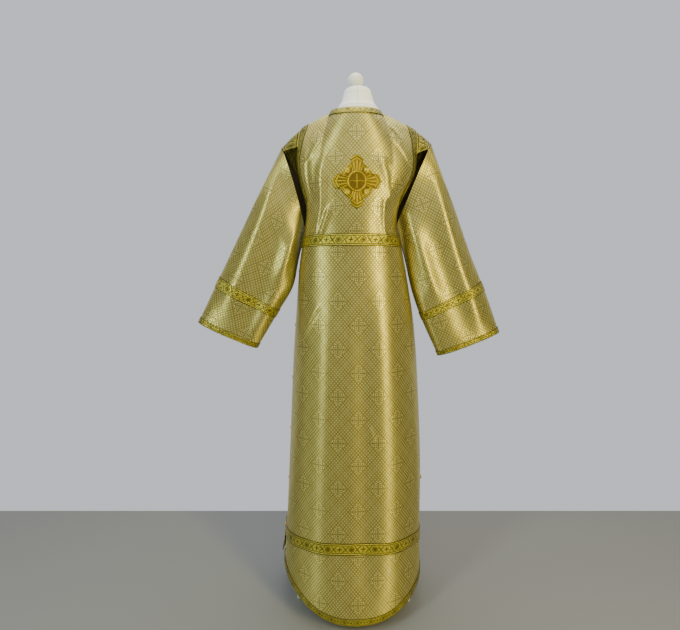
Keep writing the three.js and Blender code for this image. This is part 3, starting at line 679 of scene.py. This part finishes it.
def brocade_material(ground, light, dark):
    """Brocade: a fine diagonal mesh with light dots, bolder diagonals, and snowflakes.

    The snowflakes stand in staggered rows, each a dark cross in a wheel of light and dark dots.
    """
    graph = Graph("gold_brocade", 0.4, 0.8, **UPRIGHT_SHEEN)
    u, v, _ = graph.places()
    x, y = u / REPEAT[0], v / REPEAT[1]
    local = [
        [((at + shift).fract() - 0.5) * (size / MM) for at, size in zip((x, y), REPEAT)]
        for shift in (0.5, 0)
    ]
    far = [a * a + b * b for a, b in local]
    pick = far[0].do("GREATER_THAN", far[1])
    star_x, star_y = [a + (b - a) * pick for a, b in zip(*local)]
    radius = far[0].least(far[1]) ** 0.5
    wide, high = abs(star_x), abs(star_y)
    wheel = (star_y.do("ARCTAN2", star_x) * STAR["spokes"]).cosine() * (radius * STAR["rings"]).cosine()
    upright = wide.below(STAR["line"], STAR["line"]) * high.below(STAR["upright"], 1)
    level_line = high.below(STAR["line"], STAR["line"]) * wide.below(STAR["level"], 1)
    zone = (wide * 0.3 + high * 0.3 + radius * 0.7).below(STAR["reach"], 2)

    def diagonals(name):
        """Lines of both slants, and how far a place is from the middle of its step on each slant.

        The lines run where steps meet, but those called edge run down the middles.
        """
        steps, half, soft = DIAGONALS[name]
        slants = [abs((slant * steps).fract() - 0.5) for slant in (x + y, x - y)]
        middle = 0 if name == "edge" else 0.5
        return slants[0].near(middle, half, soft).most(slants[1].near(middle, half, soft)), slants

    line, mesh = diagonals("mesh")
    dot = mesh[0].below(*DOT) * mesh[1].below(*DOT)
    outside = zone * -1 + 1
    bright = (dot * 0.5).most(diagonals("edge")[0] * 0.3) * outside
    bright = bright.most((wheel - STAR["gap"]).times(1.3) * zone)
    shade = (line * 0.33).most(diagonals("bold")[0] * 0.55) * outside
    shade = shade.most((wheel * -1 - STAR["gap"]).times(1.3) * zone).most(upright.most(level_line) * 0.8)
    colour = graph.mix(shade, graph.mix(bright, ground, light), dark)
    # Upright streaks darken the colour as painted sheen of the warp, and also vary its roughness.
    sheen_streak = graph.noise((420, 4, 1)) - 0.5
    colour = graph.mix((sheen_streak * 0.5).do("ADD", 0.06, clamp=True), colour, dark)
    return graph.finish(colour, bright - shade, 0.0002, 0.4, Roughness=bright * -0.14 + 0.5 + sheen_streak * 0.1)


# Galloon: the share of its half width that its figures fill, the length of a figure's cell in
# widths, and for its dark, light and dark border lines the place and half thickness.
GALLOON = {"figures": 0.6, "cell": 0.5, "lines": ((0.67, 0.06), (0.8, 0.05), (0.93, 0.07))}


def galloon_material(name, width, ground, light, dark):
    """Galloon: double border lines, and between them a disc, a leafy X, a plus and another X."""
    half = width / MM / 2
    inner = half * GALLOON["figures"]
    cell = width * GALLOON["cell"]
    graph = Graph(name, 0.36, 0.75, **{**UPRIGHT_SHEEN, "Anisotropic": 0.7})
    u, v, _ = graph.places()
    place = (u / (cell * 4)).fract() * 4
    across, along = v / MM, (place.fract() - 0.5) * (cell / MM)
    tall, wide = abs(across), abs(along)
    radius = (along * along + across * across) ** 0.5
    disc = radius.below(inner * 0.78, 0.5) * (radius.near(inner * 0.5, inner * 0.06, 0.4) * -0.6 + 1)
    leaf = abs(wide - tall * 0.9).below(inner * 0.15, 0.5) * tall.below(inner * 0.9, 0.5)
    upright = wide.below(inner * 0.13, 0.4) * tall.below(inner * 0.62, 0.4)
    plus = upright.most(tall.below(inner * 0.13, 0.4) * wide.below(inner * 0.6, 0.4))
    which = place.do("FLOOR")
    is_disc, is_plus = which.below(0.5, 0.01), which.near(2, 0.4, 0.01)
    is_leaf = (is_disc + is_plus) * -1 + 1
    figure = disc * is_disc + leaf * is_leaf + plus * is_plus
    inside, cord, outside = [tall.near(half * at, half * thick, 0.5) for at, thick in GALLOON["lines"]]
    weave = u.thread(900) * v.thread(1100)
    uneven = (graph.noise((60, 400, 1)) - 0.4).times(2.2)
    glint = tall.below(inner, 0.5) * uneven * 0.8
    colour = graph.mix((cord * 0.5).most(weave * 0.25).most(glint), ground, light)
    shade = figure.most(inside.most(outside)) * 0.85
    return graph.finish(graph.mix(shade, colour, dark), cord - shade + weave * 0.3, 0.0004, 0.7)


def embroidery_material(ground, light, dark):
    """Metallic-thread embroidery with slanted stitches: dark between the cords as painted shade, light on
    them as painted highlight, over the threads' own colours.
    """
    graph = Graph("gold_embroidery", 0.36, 0.75)
    relief = graph.attribute("relief")
    u, v, _ = graph.places()
    stitch = (u + v).thread(850, 0.25, 0.25)
    # Low relief is painted darker as shade in the hollows, and high relief lighter as highlight on the
    # raised cords.
    colour = graph.mix(relief.below(0, 0.9), ground, dark)
    colour = graph.mix((relief - 0.3).times(0.9), colour, light)
    colour = graph.mix(stitch * 0.25, colour, dark)
    return graph.finish(colour, relief * 0.6 - stitch * 0.4, 0.0004, 0.7)


JERSEY = {"seamX": 0.004, "foot": 1.3, "ringZ": 1.487}      # its seams, in metres


def jersey_material(colour):
    """Fine matt jersey with an upright seam down the back of the neck and one round it."""
    graph = Graph("form_jersey", 0.85)
    x, _, z = graph.places("Object")
    above = z.do("GREATER_THAN", JERSEY["foot"])
    upright = x.near(float(AXIS[0]) + JERSEY["seamX"], 0.0005, 0.0007) * above
    seam = upright.most(z.near(JERSEY["ringZ"], 0.0006, 0.0008))
    knit = x.thread(700) * z.thread(900)
    dark = [c * 0.6 for c in colour]
    return graph.finish(graph.mix(seam * 0.7, colour, dark), knit * 0.3 - seam, 0.0004, 0.5)


# Paint and beads: the grain of their wear and how metallic they are, the worn colour and its
# greatest share, and the roughness at least and its spread.
WORN = {
    "stand_paint": (30, 0, (0.7, 0.7, 0.68), 0.08, 0.28, 0.15),
    "gold_beads": (400, 1, (0.3, 0.18, 0.04), 0.3, 0.15, 0.2),
}


def worn_material(name, colour):
    """Paint or polished metal, slightly uneven in its colour and shine."""
    grain, metallic, worn, share, roughness, spread = WORN[name]
    graph = Graph(name, roughness, metallic)
    wear = graph.noise((grain, grain, grain), 2, "Object")
    return graph.finish(graph.mix(wear * share, colour, worn), Roughness=wear * spread + roughness)


def shaded_lining_material(colour):
    """Dull lining with fine cross threads, darkened nearly to black as painted shade inside the robe."""
    graph = Graph("robe_lining_painted_shade", 0.75)
    u, v, _ = graph.places()
    weave = u.thread(900) * v.thread(900)
    darker = [c * 0.6 for c in colour]
    return graph.finish(graph.mix(weave, darker, colour), weave, 0.0002, 0.4)


# ---------------------------------------------------------------- settings
def colour_setting(name, description, default):
    return bpy.props.FloatVectorProperty(
        name=name, description=description, default=default, subtype="COLOR", size=3, min=0, max=1
    )


def length_setting(name, description, default):
    return bpy.props.FloatProperty(
        name=name, description=description, default=default, min=0, subtype="DISTANCE", unit="LENGTH"
    )


def share_setting(name, description, default):
    return bpy.props.FloatProperty(name=name, description=description, default=default, min=0)


class RobeSettings(bpy.types.PropertyGroup):
    """Sizes and colours of the robe."""

    cloth: length_setting("Cloth", "Thickness of the brocade with its backing", CLOTH * MM)
    galloon: length_setting("Galloon", "Thickness of the woven trims", 0.0014)
    lift: length_setting("Lift", "How far the trims lie off the cloth", 0.0004)
    ground: colour_setting("Ground", "The brocade's ground", (0.46, 0.39, 0.10))
    light: colour_setting("Light thread", "The brocade's light thread", (0.96, 0.88, 0.36))
    dark: colour_setting("Dark thread", "The brocade's dark thread", (0.09, 0.074, 0.012))
    # The lining's near-black colour is painted shade inside the robe.
    lining: colour_setting("Lining", "The inside of the robe", (0.09, 0.06, 0.015))
    trim: colour_setting("Trim", "The galloon's ground", (0.33, 0.27, 0.02))
    trim_light: colour_setting("Trim cord", "The galloon's bright threads", (0.92, 0.82, 0.16))
    trim_dark: colour_setting("Trim figures", "The galloon's lines and figures", (0.05, 0.038, 0.002))
    # This factor darkens the galloon of the armhole trims and shoulder straps as painted shade.
    armhole: share_setting("Armhole trim", "How light the armholes' galloon is beside the rest", 0.7)
    # This factor darkens the narrow galloon of the hems and cuffs as painted shade.
    narrow_trim_shade: share_setting("Edging", "How light the narrow galloon is beside the wide one", 0.85)
    cross: colour_setting("Cross", "The cross's thread", (0.36, 0.25, 0.004))
    # The cross's cord and hollow colours are partly the threads' own and partly painted highlight on the
    # cords and painted shade in the hollows.
    cross_cords_and_highlight: colour_setting("Cross cords", "The cross's raised cords", (0.62, 0.5, 0.03))
    cross_hollows_and_shade: colour_setting("Cross ground", "The hollows of the cross", (0.13, 0.08, 0.002))
    beads: colour_setting("Beads", "The bead buttons", (0.8, 0.56, 0.18))


class FormSettings(bpy.types.PropertyGroup):
    """Colours of the dress form."""

    jersey: colour_setting("Jersey", "The form's cover", (0.98, 0.98, 0.98))
    paint: colour_setting("Paint", "The form's cap and stand", (0.84, 0.84, 0.83))


class StageSettings(bpy.types.PropertyGroup):
    """Colours of the stage and the place of the camera."""

    floor: colour_setting("Floor", "The floor", (0.2, 0.2, 0.2))
    air: colour_setting("Air", "The light in front of the robe", (0.68, 0.7, 0.75))
    dusk: colour_setting("Dusk", "The dimmer light behind the camera", (0.12, 0.12, 0.11))
    camera_height: length_setting("Camera height", "Height of the camera above the floor", 1.081)
    camera_distance: length_setting("Camera distance", "Distance of the camera from the pole", 1.41)


# ---------------------------------------------------------------- operators
U_RANGE = (-1, 1)
CUTS = {                      # a panel's range across and up, and the steps for its normals
    skirt: (U_RANGE, (0, SEAM["side"] + SEAM["arch"]), (1e-3, 0.5)),
    yoke: (U_RANGE, (0, 1), (1e-3, 1e-3)),
}
PATTERN_START = {"skirt": (-0.0075, 0.084), "yoke": (-0.001, -0.039)}     # in metres


def settings():
    """The robe's settings in the open scene."""
    return bpy.context.scene.sticharion_robe


def shared_material(name):
    """The material of that name, made the first time it's asked for."""
    if name in bpy.data.materials:
        return bpy.data.materials[name]
    robe, form = settings(), bpy.context.scene.sticharion_form

    # A copy of the galloon whose threads are all scaled by light; the narrow and armhole copies are
    # darkened as painted shade.
    def galloon(width, light):
        threads = (robe.trim, robe.trim_light, robe.trim_dark)
        return galloon_material(name, width * MM, *([c * light for c in thread] for thread in threads))

    makers = {
        "gold_brocade": lambda: brocade_material(*map(tuple, (robe.ground, robe.light, robe.dark))),
        "robe_lining_painted_shade": lambda: shaded_lining_material(tuple(robe.lining)),
        "galloon_wide": lambda: galloon(BAND_HEIGHT, 1),
        "galloon_narrow_painted_shade": lambda: galloon(HEM_TRIM, robe.narrow_trim_shade),
        "galloon_armhole_painted_shade": lambda: galloon(BAND_HEIGHT, robe.armhole),
        "gold_embroidery": lambda: embroidery_material(
            *map(tuple, (robe.cross, robe.cross_cords_and_highlight, robe.cross_hollows_and_shade))
        ),
        "gold_beads": lambda: worn_material(name, tuple(robe.beads)),
        "form_jersey": lambda: jersey_material(tuple(form.jersey)),
        "stand_paint": lambda: worn_material(name, tuple(form.paint)),
    }
    return makers[name]()


def trim_offsets():
    """How far a trim's outer and inner faces lie off the cloth, in millimetres."""
    robe = settings()
    near = robe.lift / MM
    return near + robe.galloon / MM, near


def level(height):
    """A row at the same height or share everywhere."""
    return lambda u: np.full_like(u, float(height))


class BuildBody(bpy.types.Operator):
    """Builds the two skirt panels and the two yokes"""

    bl_idname = "sticharion.body"
    bl_label = "Body"

    def execute(self, context):
        offsets = 0, -settings().cloth / MM
        cloth = shared_material("gold_brocade")
        for panel, side in OUTWARD.items():
            skirt_ends = hem_z(panel), lambda u: seam_z(u) - SEAM_GAP
            panel_piece(f"{panel}_skirt", "brocade", cloth, panel, skirt, U_RANGE, skirt_ends,
                        (160, 250), offsets, cloth_uv(-1, -side, PATTERN_START["skirt"]))
            panel_piece(f"{panel}_yoke", "brocade", cloth, panel, yoke, U_RANGE, (level(0), level(1)),
                        (130, 120), offsets, cloth_uv(0, -side, PATTERN_START["yoke"]))
        return {"FINISHED"}


class BuildBodyTrims(bpy.types.Operator):
    """Lays the galloon on the hems, over the yoke seams, round the neck and along the armholes"""

    bl_idname = "sticharion.body_trims"
    bl_label = "Body trims"

    def execute(self, context):
        wide, narrow = shared_material("galloon_wide"), shared_material("galloon_narrow_painted_shade")
        wide_uv, narrow_uv = trim_uv(BAND_HEIGHT * MM), trim_uv(HEM_TRIM * MM)
        band_top = level(BAND_HEIGHT / (NECK["sideZ"] - SEAM["side"]))
        neck_ends = -NECK["share"], NECK["share"]
        for panel in OUTWARD:
            hem = hem_z(panel)
            hem_ends = hem, lambda u: hem(u) + HEM_TRIM
            band_ends = band_z, lambda u: band_z(u) + BAND_HEIGHT
            strips = (
                # The hem trim's narrow galloon is darkened as painted shade.
                ("hem_trim", narrow, skirt, U_RANGE, hem_ends, (160, 6), narrow_uv),
                ("hem_band", wide, skirt, U_RANGE, band_ends, (160, 8), wide_uv),
                ("yoke_band", wide, yoke, U_RANGE, (level(0), band_top), (130, 10), wide_uv),
                ("neckband", wide, yoke, neck_ends, (level(NECKBAND_FOOT), level(1)), (72, 14), wide_uv),
            )
            for node, material, form, u_ends, v_ends, grid, uv_of in strips:
                panel_piece(f"{node}_{panel}", "galloon", material, panel, form, u_ends, v_ends, grid,
                            trim_offsets(), uv_of)
            for hand in SLEEVES:
                first = (hand == "left") == (panel == "back")
                # The armhole trims take the galloon darkened as painted shade.
                panel_piece(f"armhole_trim_{panel}_{hand}", "galloon", shared_material("galloon_armhole_painted_shade"),
                            panel, yoke, (-1, -YOKE_EDGE) if first else (YOKE_EDGE, 1),
                            (level(ARMHOLE_TRIM_FOOT), level(1)), (12, 90), trim_offsets(),
                            trim_uv(BAND_HEIGHT * MM, 0))
        return {"FINISHED"}


def tube_piece(node, slot, material, surface, shares, rows, offsets, uv_of):
    """A tube wall from one share of the sleeve to another."""
    turn = np.linspace(0, 2 * np.pi, 144, endpoint=False)
    u, v = np.meshgrid(turn, np.linspace(*shares, rows + 1))
    normal = normals(surface, u, v, (-10, 10), (0, 1), (1e-3, 1e-3))
    faces = [surface(u, v) + normal * offset for offset in offsets]
    closed = np.concatenate([faces[0], faces[0][:, :1]], 1)
    return piece(node, slot, wall_mesh(f"{node}_{slot}", *faces, uv_of(closed), tube=True), material)


class BuildSleeves(bpy.types.Operator):
    """Builds the two sleeves with their bands, cuff trims and shoulder straps"""

    bl_idname = "sticharion.sleeves"
    bl_label = "Sleeves"

    def execute(self, context):
        robe = settings()
        cloth, wide = shared_material("gold_brocade"), shared_material("galloon_wide")
        narrow = shared_material("galloon_narrow_painted_shade")
        wide_uv, narrow_uv = trim_uv(BAND_HEIGHT * MM), trim_uv(HEM_TRIM * MM)
        for hand, sleeve in SLEEVES.items():
            parts = (
                ("sleeve", "brocade", cloth, (0, 1), 120, (0, -robe.cloth / MM), sleeve_uv),
                ("sleeve_band", "galloon", wide, sleeve["band"], 10, trim_offsets(), wide_uv),
                # The cuff trim's narrow galloon is darkened as painted shade.
                ("cuff_trim", "galloon", narrow, (CUFF_TRIM, 1), 6, trim_offsets(), narrow_uv),
            )
            surface = sleeve_surface(hand)
            for node, slot, material, shares, rows, offsets, uv_of in parts:
                tube_piece(f"{node}_{hand}", slot, material, surface, shares, rows, offsets, uv_of)
            ends = (1, 0) if hand == "left" else (0, 1)
            share, s = np.meshgrid(np.linspace(*ends, 13), np.linspace(-1, 1, 33))
            strap = strap_surface(hand)
            normal = normals(strap, share, s, (0, 1), (-1, 1), (1e-3, 1e-3)) * sleeve["sign"]
            top = strap(share, s)
            bottom = top - normal * robe.galloon / MM
            uv = trim_uv(BAND_HEIGHT * MM, 0)(top)
            mesh = wall_mesh(f"shoulder_strap_{hand}_galloon", top, bottom, uv)
            # The strap takes the galloon darkened as painted shade.
            piece(f"shoulder_strap_{hand}", "galloon", mesh, shared_material("galloon_armhole_painted_shade"))
        return {"FINISHED"}


def on_yoke(x, z):
    """Where a point of the back's picture plane lies on the back yoke, by a few Newton steps."""
    reach = side_reach(x, z)
    u = x / reach
    for _ in range(8):
        guess = lerp(np.sin(u * np.pi / 2), u, EVEN)
        u = u - (guess - x / reach) / ((1 - EVEN) * np.pi / 2)
    return u, (z - seam_z(u)) / (yoke_top("back", u)[2] - seam_z(u))


def off_arm(angle):
    """Degrees between a direction and the middle line of the cross's nearest arm."""
    return np.degrees(np.abs((angle + np.pi / 4) % (np.pi / 2) - np.pi / 4))


def cross_relief(share, angle, x, z):
    """Height of the cross's embroidery: cords round it, rays, curls, a ring and a thin cross."""
    wide, high, off = np.abs(x), np.abs(z), off_arm(angle)
    radius, curl = np.hypot(x, z), np.hypot(wide - CURL, high - CURL)
    far = {"edge": share, "middle": radius, "curl": curl}
    height = sum(rise * bell(far[start], at, width) for start, at, width, rise in CORDS)
    arms = smooth((RAYS["outer"] - share) / 0.06) * smooth((radius - RAYS["inner"]) / 0.05)
    arms = arms * smooth((RAYS["angle"] - off) / 5)
    height = height + RAYS["rise"] * arms * np.cos(np.radians(off) * RAYS["count"]) ** 2
    thin, long = np.minimum(wide, high), np.maximum(wide, high)
    within = smooth((THIN_CROSS["reach"] - long) / 0.03)
    return height + THIN_CROSS["rise"] * bell(thin, 0, THIN_CROSS["width"]) * within


class BuildCross(bpy.types.Operator):
    """Builds the applied cross on the back yoke"""

    bl_idname = "sticharion.cross"
    bl_label = "Cross"

    def execute(self, context):
        round_it = np.linspace(0, 2 * np.pi, 288, endpoint=False)
        share, angle = np.meshgrid(np.linspace(0.004, 1, 46), round_it, indexing="ij")
        reach = np.interp(off_arm(angle), CROSS_OUTLINE["angle"], CROSS_OUTLINE["reach"])
        x, z = share * reach * np.cos(angle), share * reach * np.sin(angle)
        u, v = on_yoke(CROSS["x"] + x * CROSS["halfWidth"], CROSS["z"] + z * CROSS["halfHeight"])
        surface = yoke("back")
        base, normal = surface(u, v), normals(surface, u, v, *CUTS[yoke])
        relief = cross_relief(share, angle, x, z)
        edge = smooth((1 - share) / 0.03)
        height = CROSS["gap"] + (CROSS["thickness"] - 1) * edge + RELIEF * relief
        top, bottom = base + normal * height[..., None], base + normal * CROSS["gap"]
        places = np.stack([x * CROSS["halfWidth"], z * CROSS["halfHeight"]], -1) * MM
        places = np.concatenate([places, places[:, :1]], 1)
        mesh = wall_mesh("back_cross_embroidery", top[::-1], bottom[::-1], places[::-1], tube=True)
        layer = mesh.attributes.new("relief", "FLOAT", "POINT")
        values = np.concatenate([relief[::-1].ravel(), np.zeros(relief.size)])
        layer.data.foreach_set("value", values.astype(np.float32))
        piece("back_cross", "embroidery", mesh, shared_material("gold_embroidery"))
        return {"FINISHED"}


def ball(centre, radii, rings=12, turns=24):
    """Points of an ellipsoid: sines and cosines of two angles, times its radii."""
    tilts, turned = np.linspace(-np.pi / 2, np.pi / 2, rings + 1), np.linspace(0, 2 * np.pi, turns + 1)
    tilt, turn = np.meshgrid(tilts, turned, indexing="ij")
    unit = np.stack([np.cos(tilt) * np.cos(turn), np.cos(tilt) * np.sin(turn), np.sin(tilt)], -1)
    return np.asarray(centre) + unit * np.asarray(radii)


def lathe(profile, turns=72):
    """A turned surface: each radius and height of the profile goes once round the pole."""
    radius, height = np.array(profile, float).T
    turn = np.linspace(0, 2 * np.pi, turns + 1)
    return np.stack([
        np.outer(radius, np.cos(turn)), np.outer(radius, np.sin(turn)), np.outer(height, np.ones_like(turn))
    ], -1)


def skin_mesh(name, *grids):
    """One mesh of closed skins, from grids that run up and once round; their ends shrink to points."""
    points, faces, places, base = [], [], [], 0
    for grid in grids:
        count, wide = grid.shape[0], grid.shape[1] - 1
        r, c = np.meshgrid(np.arange(count - 1), np.arange(wide), indexing="ij")
        r, c = r.ravel(), c.ravel()
        corner_r, corner_c = np.stack([r, r, r + 1, r + 1], 1), np.stack([c, c + 1, c + 1, c], 1)
        faces.append(base + corner_r * wide + corner_c % wide)
        uv = np.stack([arc(grid, 1, 0), arc(grid, 0, 0)], -1) * MM
        places.append(uv[corner_r, corner_c].reshape(-1, 2))
        points.append(grid[:, :-1].reshape(-1, 3))
        base += count * wide
    return build_mesh(name, *map(np.concatenate, (points, faces, places)))


class BuildButtons(bpy.types.Operator):
    """Builds the bead buttons down both side openings"""

    bl_idname = "sticharion.buttons"
    bl_label = "Bead buttons"

    def execute(self, context):
        for hand, sleeve in SLEEVES.items():
            for i in range(BUTTON["count"]):
                z = BUTTON["lowest"] + i * BUTTON["spacing"]
                shown = i < SHOWN[hand]
                inset = CLOTH / 2 + (-BUTTON["outset"] if shown else BUTTON["inset"])
                x = sleeve["sign"] * (float(side_reach(sleeve["sign"], z)) - inset)
                size = BUTTON["radius"] + (BUTTON["outset"] if shown else 0)
                radii = (size, float(column(BODY, "edge", z)) - SEAM_GAP, size)
                node = f"button_{hand}_{i + 1}"
                mesh = skin_mesh(f"{node}_bead_brass", ball((x, 0, z), radii))
                piece(node, "bead_brass", mesh, shared_material("gold_beads"))
        return {"FINISHED"}


CAP = ((0, 1523.3), (39.7, 1523.3), (39.1, 1526.5), (37.6, 1531), (36, 1534.5), (34, 1537.5), (31, 1540),
       (27, 1542), (22, 1543.7), (16, 1544.7), (9, 1545), (0, 1545))
NECK_STUMP = ((0, 1415), (59, 1415), (60, 1476), (59.4, 1482), (58, 1486), (55.6, 1490), (52.5, 1493.3),
              (50.2, 1496), (48.5, 1498.5), (46.9, 1501.5), (45.5, 1505), (44.2, 1509), (43, 1513),
              (41.6, 1518), (39.8, 1523), (0, 1523))
NECK_SHAPE = {"deep": 0.87, "shift": 6}         # the neck is less deep than wide, and leans right
KNOB = {"radius": 22.5, "middle": 1561.5, "top": 1583, "neck": 9, "foot": 1545.3}


class BuildForm(bpy.types.Operator):
    """Builds the jersey torso of the form with its neck, cap and knob"""

    bl_idname = "sticharion.form"
    bl_label = "Dress form"

    def execute(self, context):
        u = np.linspace(-1, 1, 65)
        rings = []
        for z in np.linspace(FORM["bottom"], FORM["waist"], FORM_RINGS["hip"]):
            rise = (z - FORM["bottom"]) / FORM["rise"]
            rings.append((skirt, z, [lerp(*FORM_SHARES[name], rise) for name in ("hipWide", "hipDeep")]))
        even = np.linspace(FORM_RINGS["first"], 1, FORM_RINGS["chest"])
        for v in 1 - (1 - even) ** FORM_RINGS["crowd"]:
            shares = lerp(*FORM_SHARES["chestWide"], v**3), lerp(*FORM_SHARES["chestDeep"], v)
            rings.append((yoke, v, shares))
        grid = []
        for surface, height, (wide, deep) in rings:
            ring = []
            for panel, side in OUTWARD.items():
                p = surface(panel)(u, np.full_like(u, height))
                y = np.maximum(FORM["seamHalf"], np.abs(p[:, 1]) * deep - FORM["clear"])
                ring.append(np.stack([p[:, 0] * wide, side * y, p[:, 2] - FORM["drop"]], -1))
            grid.append(np.concatenate([*ring, ring[0][:1]]))
        grid = np.array(grid)
        low, high = [np.broadcast_to(end.mean(0), end.shape)[None] for end in (grid[0], grid[-1])]
        torso = np.concatenate([low, grid, high])
        lean = np.array([NECK_SHAPE["shift"], 0, 0])
        stump, cap = (lathe(p) * (1, NECK_SHAPE["deep"], 1) + lean for p in (NECK_STUMP, CAP))
        mesh = skin_mesh("form_torso_jersey", torso, stump)
        piece("form_torso", "jersey", mesh, shared_material("form_jersey"))
        piece("form_cap", "jersey", skin_mesh("form_cap_jersey", cap), shared_material("form_jersey"))

        above, below = KNOB["top"] - KNOB["middle"], KNOB["middle"] - KNOB["foot"] - 1
        profile = [(0, KNOB["foot"]), (KNOB["neck"], KNOB["foot"])]
        for t in np.linspace(-np.pi / 2, np.pi / 2, 25):
            radius = max(KNOB["radius"] * math.cos(t), KNOB["neck"] if t < 0 else 0)
            profile.append((radius, KNOB["middle"] + math.sin(t) * (above if t > 0 else below)))
        mesh = skin_mesh("form_knob_white_paint", lathe(profile))
        piece("form_knob", "white_paint", mesh, shared_material("stand_paint"))
        return {"FINISHED"}


class BuildStand(bpy.types.Operator):
    """Paints the pole, the hub and the three legs"""

    bl_idname = "sticharion.stand"
    bl_label = "Stand"

    def execute(self, context):
        paint = shared_material("stand_paint")
        for node in ("pole", "stand_hub", "stand_leg_1", "stand_leg_2", "stand_leg_3"):
            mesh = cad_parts[node].data
            mesh.materials.clear()
            mesh.materials.append(paint)
            mesh.shade_smooth()
            mesh.set_sharp_from_angle(angle=math.radians(SHARP["stand"]))
        return {"FINISHED"}


# The stage, in metres, degrees and watts.  A lamp has a place, a width and height, a power and a colour.
FLOOR = {"x": (-2.6, 2.6), "y": (-3.2, 0.46)}
AIR_FROM, AIR_TO = -0.5, 0.35           # the dusk turns to air between these directions along Y
LAMPS = (
    ("warm_lamp", (1.55, -2.1, 1.6), (0.5, 2.5), 74, (1.0, 0.88, 0.32)),
    ("cool_lamp", (-1.75, -1.8, 1.9), (0.5, 1.9), 44, (0.86, 1.0, 0.84)),
    ("front_lamp", (0.0, -2.2, 2.6), (1.8, 0.7), 18, (0.96, 0.98, 1.0)),
    ("ceiling_lamp", (0.1, 0.2, 3.2), (1.6, 1.6), 36, (1.0, 0.99, 0.98)),
)
LAMP_AIM = 0.9
CAMERA = {"lens": 25.04, "sensor": 36, "aside": -0.044, "tilt": 82.5}


class BuildStage(bpy.types.Operator):
    """Sets the floor, the soft lights and the camera"""

    bl_idname = "sticharion.stage"
    bl_label = "Stage"

    def execute(self, context):
        stage = context.scene.sticharion_stage
        (left, right), (front, back) = FLOOR["x"], FLOOR["y"]
        corners = [(left, front, 0), (right, front, 0), (right, back, 0), (left, back, 0)]
        mesh = bpy.data.meshes.new("floor")
        mesh.from_pydata(corners, [], [(0, 1, 2, 3)])
        mesh.materials.append(Graph("floor", 0.6).finish((*stage.floor, 1)))
        link("floor", mesh)

        world = context.scene.world or bpy.data.worlds.new("World")
        context.scene.world = world
        world.use_nodes = True
        tree = Tree(world.node_tree)
        ramp = tree.nodes.new("ShaderNodeMapRange")
        ramp.interpolation_type = "SMOOTHSTEP"
        ramp.inputs["From Min"].default_value, ramp.inputs["From Max"].default_value = AIR_FROM, AIR_TO
        tree.put(ramp.inputs["Value"], tree.places("Generated")[1])
        sky = tree.nodes["Background"]
        sky.inputs["Strength"].default_value = 1.0
        tree.put(sky.inputs["Color"], tree.mix(ramp.outputs[0], stage.dusk, stage.air))

        for name, place, (wide, high), power, colour in LAMPS:
            light = bpy.data.lights.new(name, "AREA")
            light.shape, light.size, light.size_y = "RECTANGLE", wide, high
            light.energy, light.color = power, colour
            lamp = link(name, light)
            aim = AXIS + np.array([0, 0, LAMP_AIM]) - np.array(place)
            tilt = math.atan2(math.hypot(aim[0], aim[1]), -aim[2])
            lamp.location = place
            lamp.rotation_euler = (tilt, 0, math.atan2(-aim[0], aim[1]))
            lamp.visible_camera = False

        camera = bpy.data.cameras.new("camera")
        camera.lens, camera.sensor_width = CAMERA["lens"], CAMERA["sensor"]
        view = link("camera", camera)
        view.location = (AXIS[0] + CAMERA["aside"], AXIS[1] - stage.camera_distance, stage.camera_height)
        view.rotation_euler = (math.radians(CAMERA["tilt"]), 0, 0)
        context.scene.camera = view
        return {"FINISHED"}


class SticharionPanel(bpy.types.Panel):
    """Lists the pieces and their settings"""

    bl_idname = "VIEW3D_PT_sticharion"
    bl_label = "Sticharion"
    bl_space_type = "VIEW_3D"
    bl_region_type = "UI"
    bl_category = "Sticharion"

    def draw(self, context):
        for operator in OPERATORS:
            self.layout.operator(operator.bl_idname)
        for group in GROUPS:
            settings_of = getattr(context.scene, group)
            for name in settings_of.__annotations__:
                self.layout.prop(settings_of, name)


OPERATORS = (
    BuildBody, BuildBodyTrims, BuildSleeves, BuildCross, BuildButtons, BuildForm, BuildStand, BuildStage,
)
GROUPS = {
    "sticharion_robe": RobeSettings,
    "sticharion_form": FormSettings,
    "sticharion_stage": StageSettings,
}


def register():
    for group in GROUPS.values():
        bpy.utils.register_class(group)
    for made in (*OPERATORS, SticharionPanel):
        bpy.utils.register_class(made)
    for name, group in GROUPS.items():
        setattr(bpy.types.Scene, name, bpy.props.PointerProperty(type=group))


def unregister():
    for name in GROUPS:
        delattr(bpy.types.Scene, name)
    for made in (*OPERATORS, SticharionPanel, *GROUPS.values()):
        bpy.utils.unregister_class(made)


def main():
    register()
    bpy.ops.sticharion.body()
    bpy.ops.sticharion.body_trims()
    bpy.ops.sticharion.sleeves()
    bpy.ops.sticharion.cross()
    bpy.ops.sticharion.buttons()
    bpy.ops.sticharion.form()
    bpy.ops.sticharion.stand()
    bpy.ops.sticharion.stage()


if __name__ == "__main__":
    main()
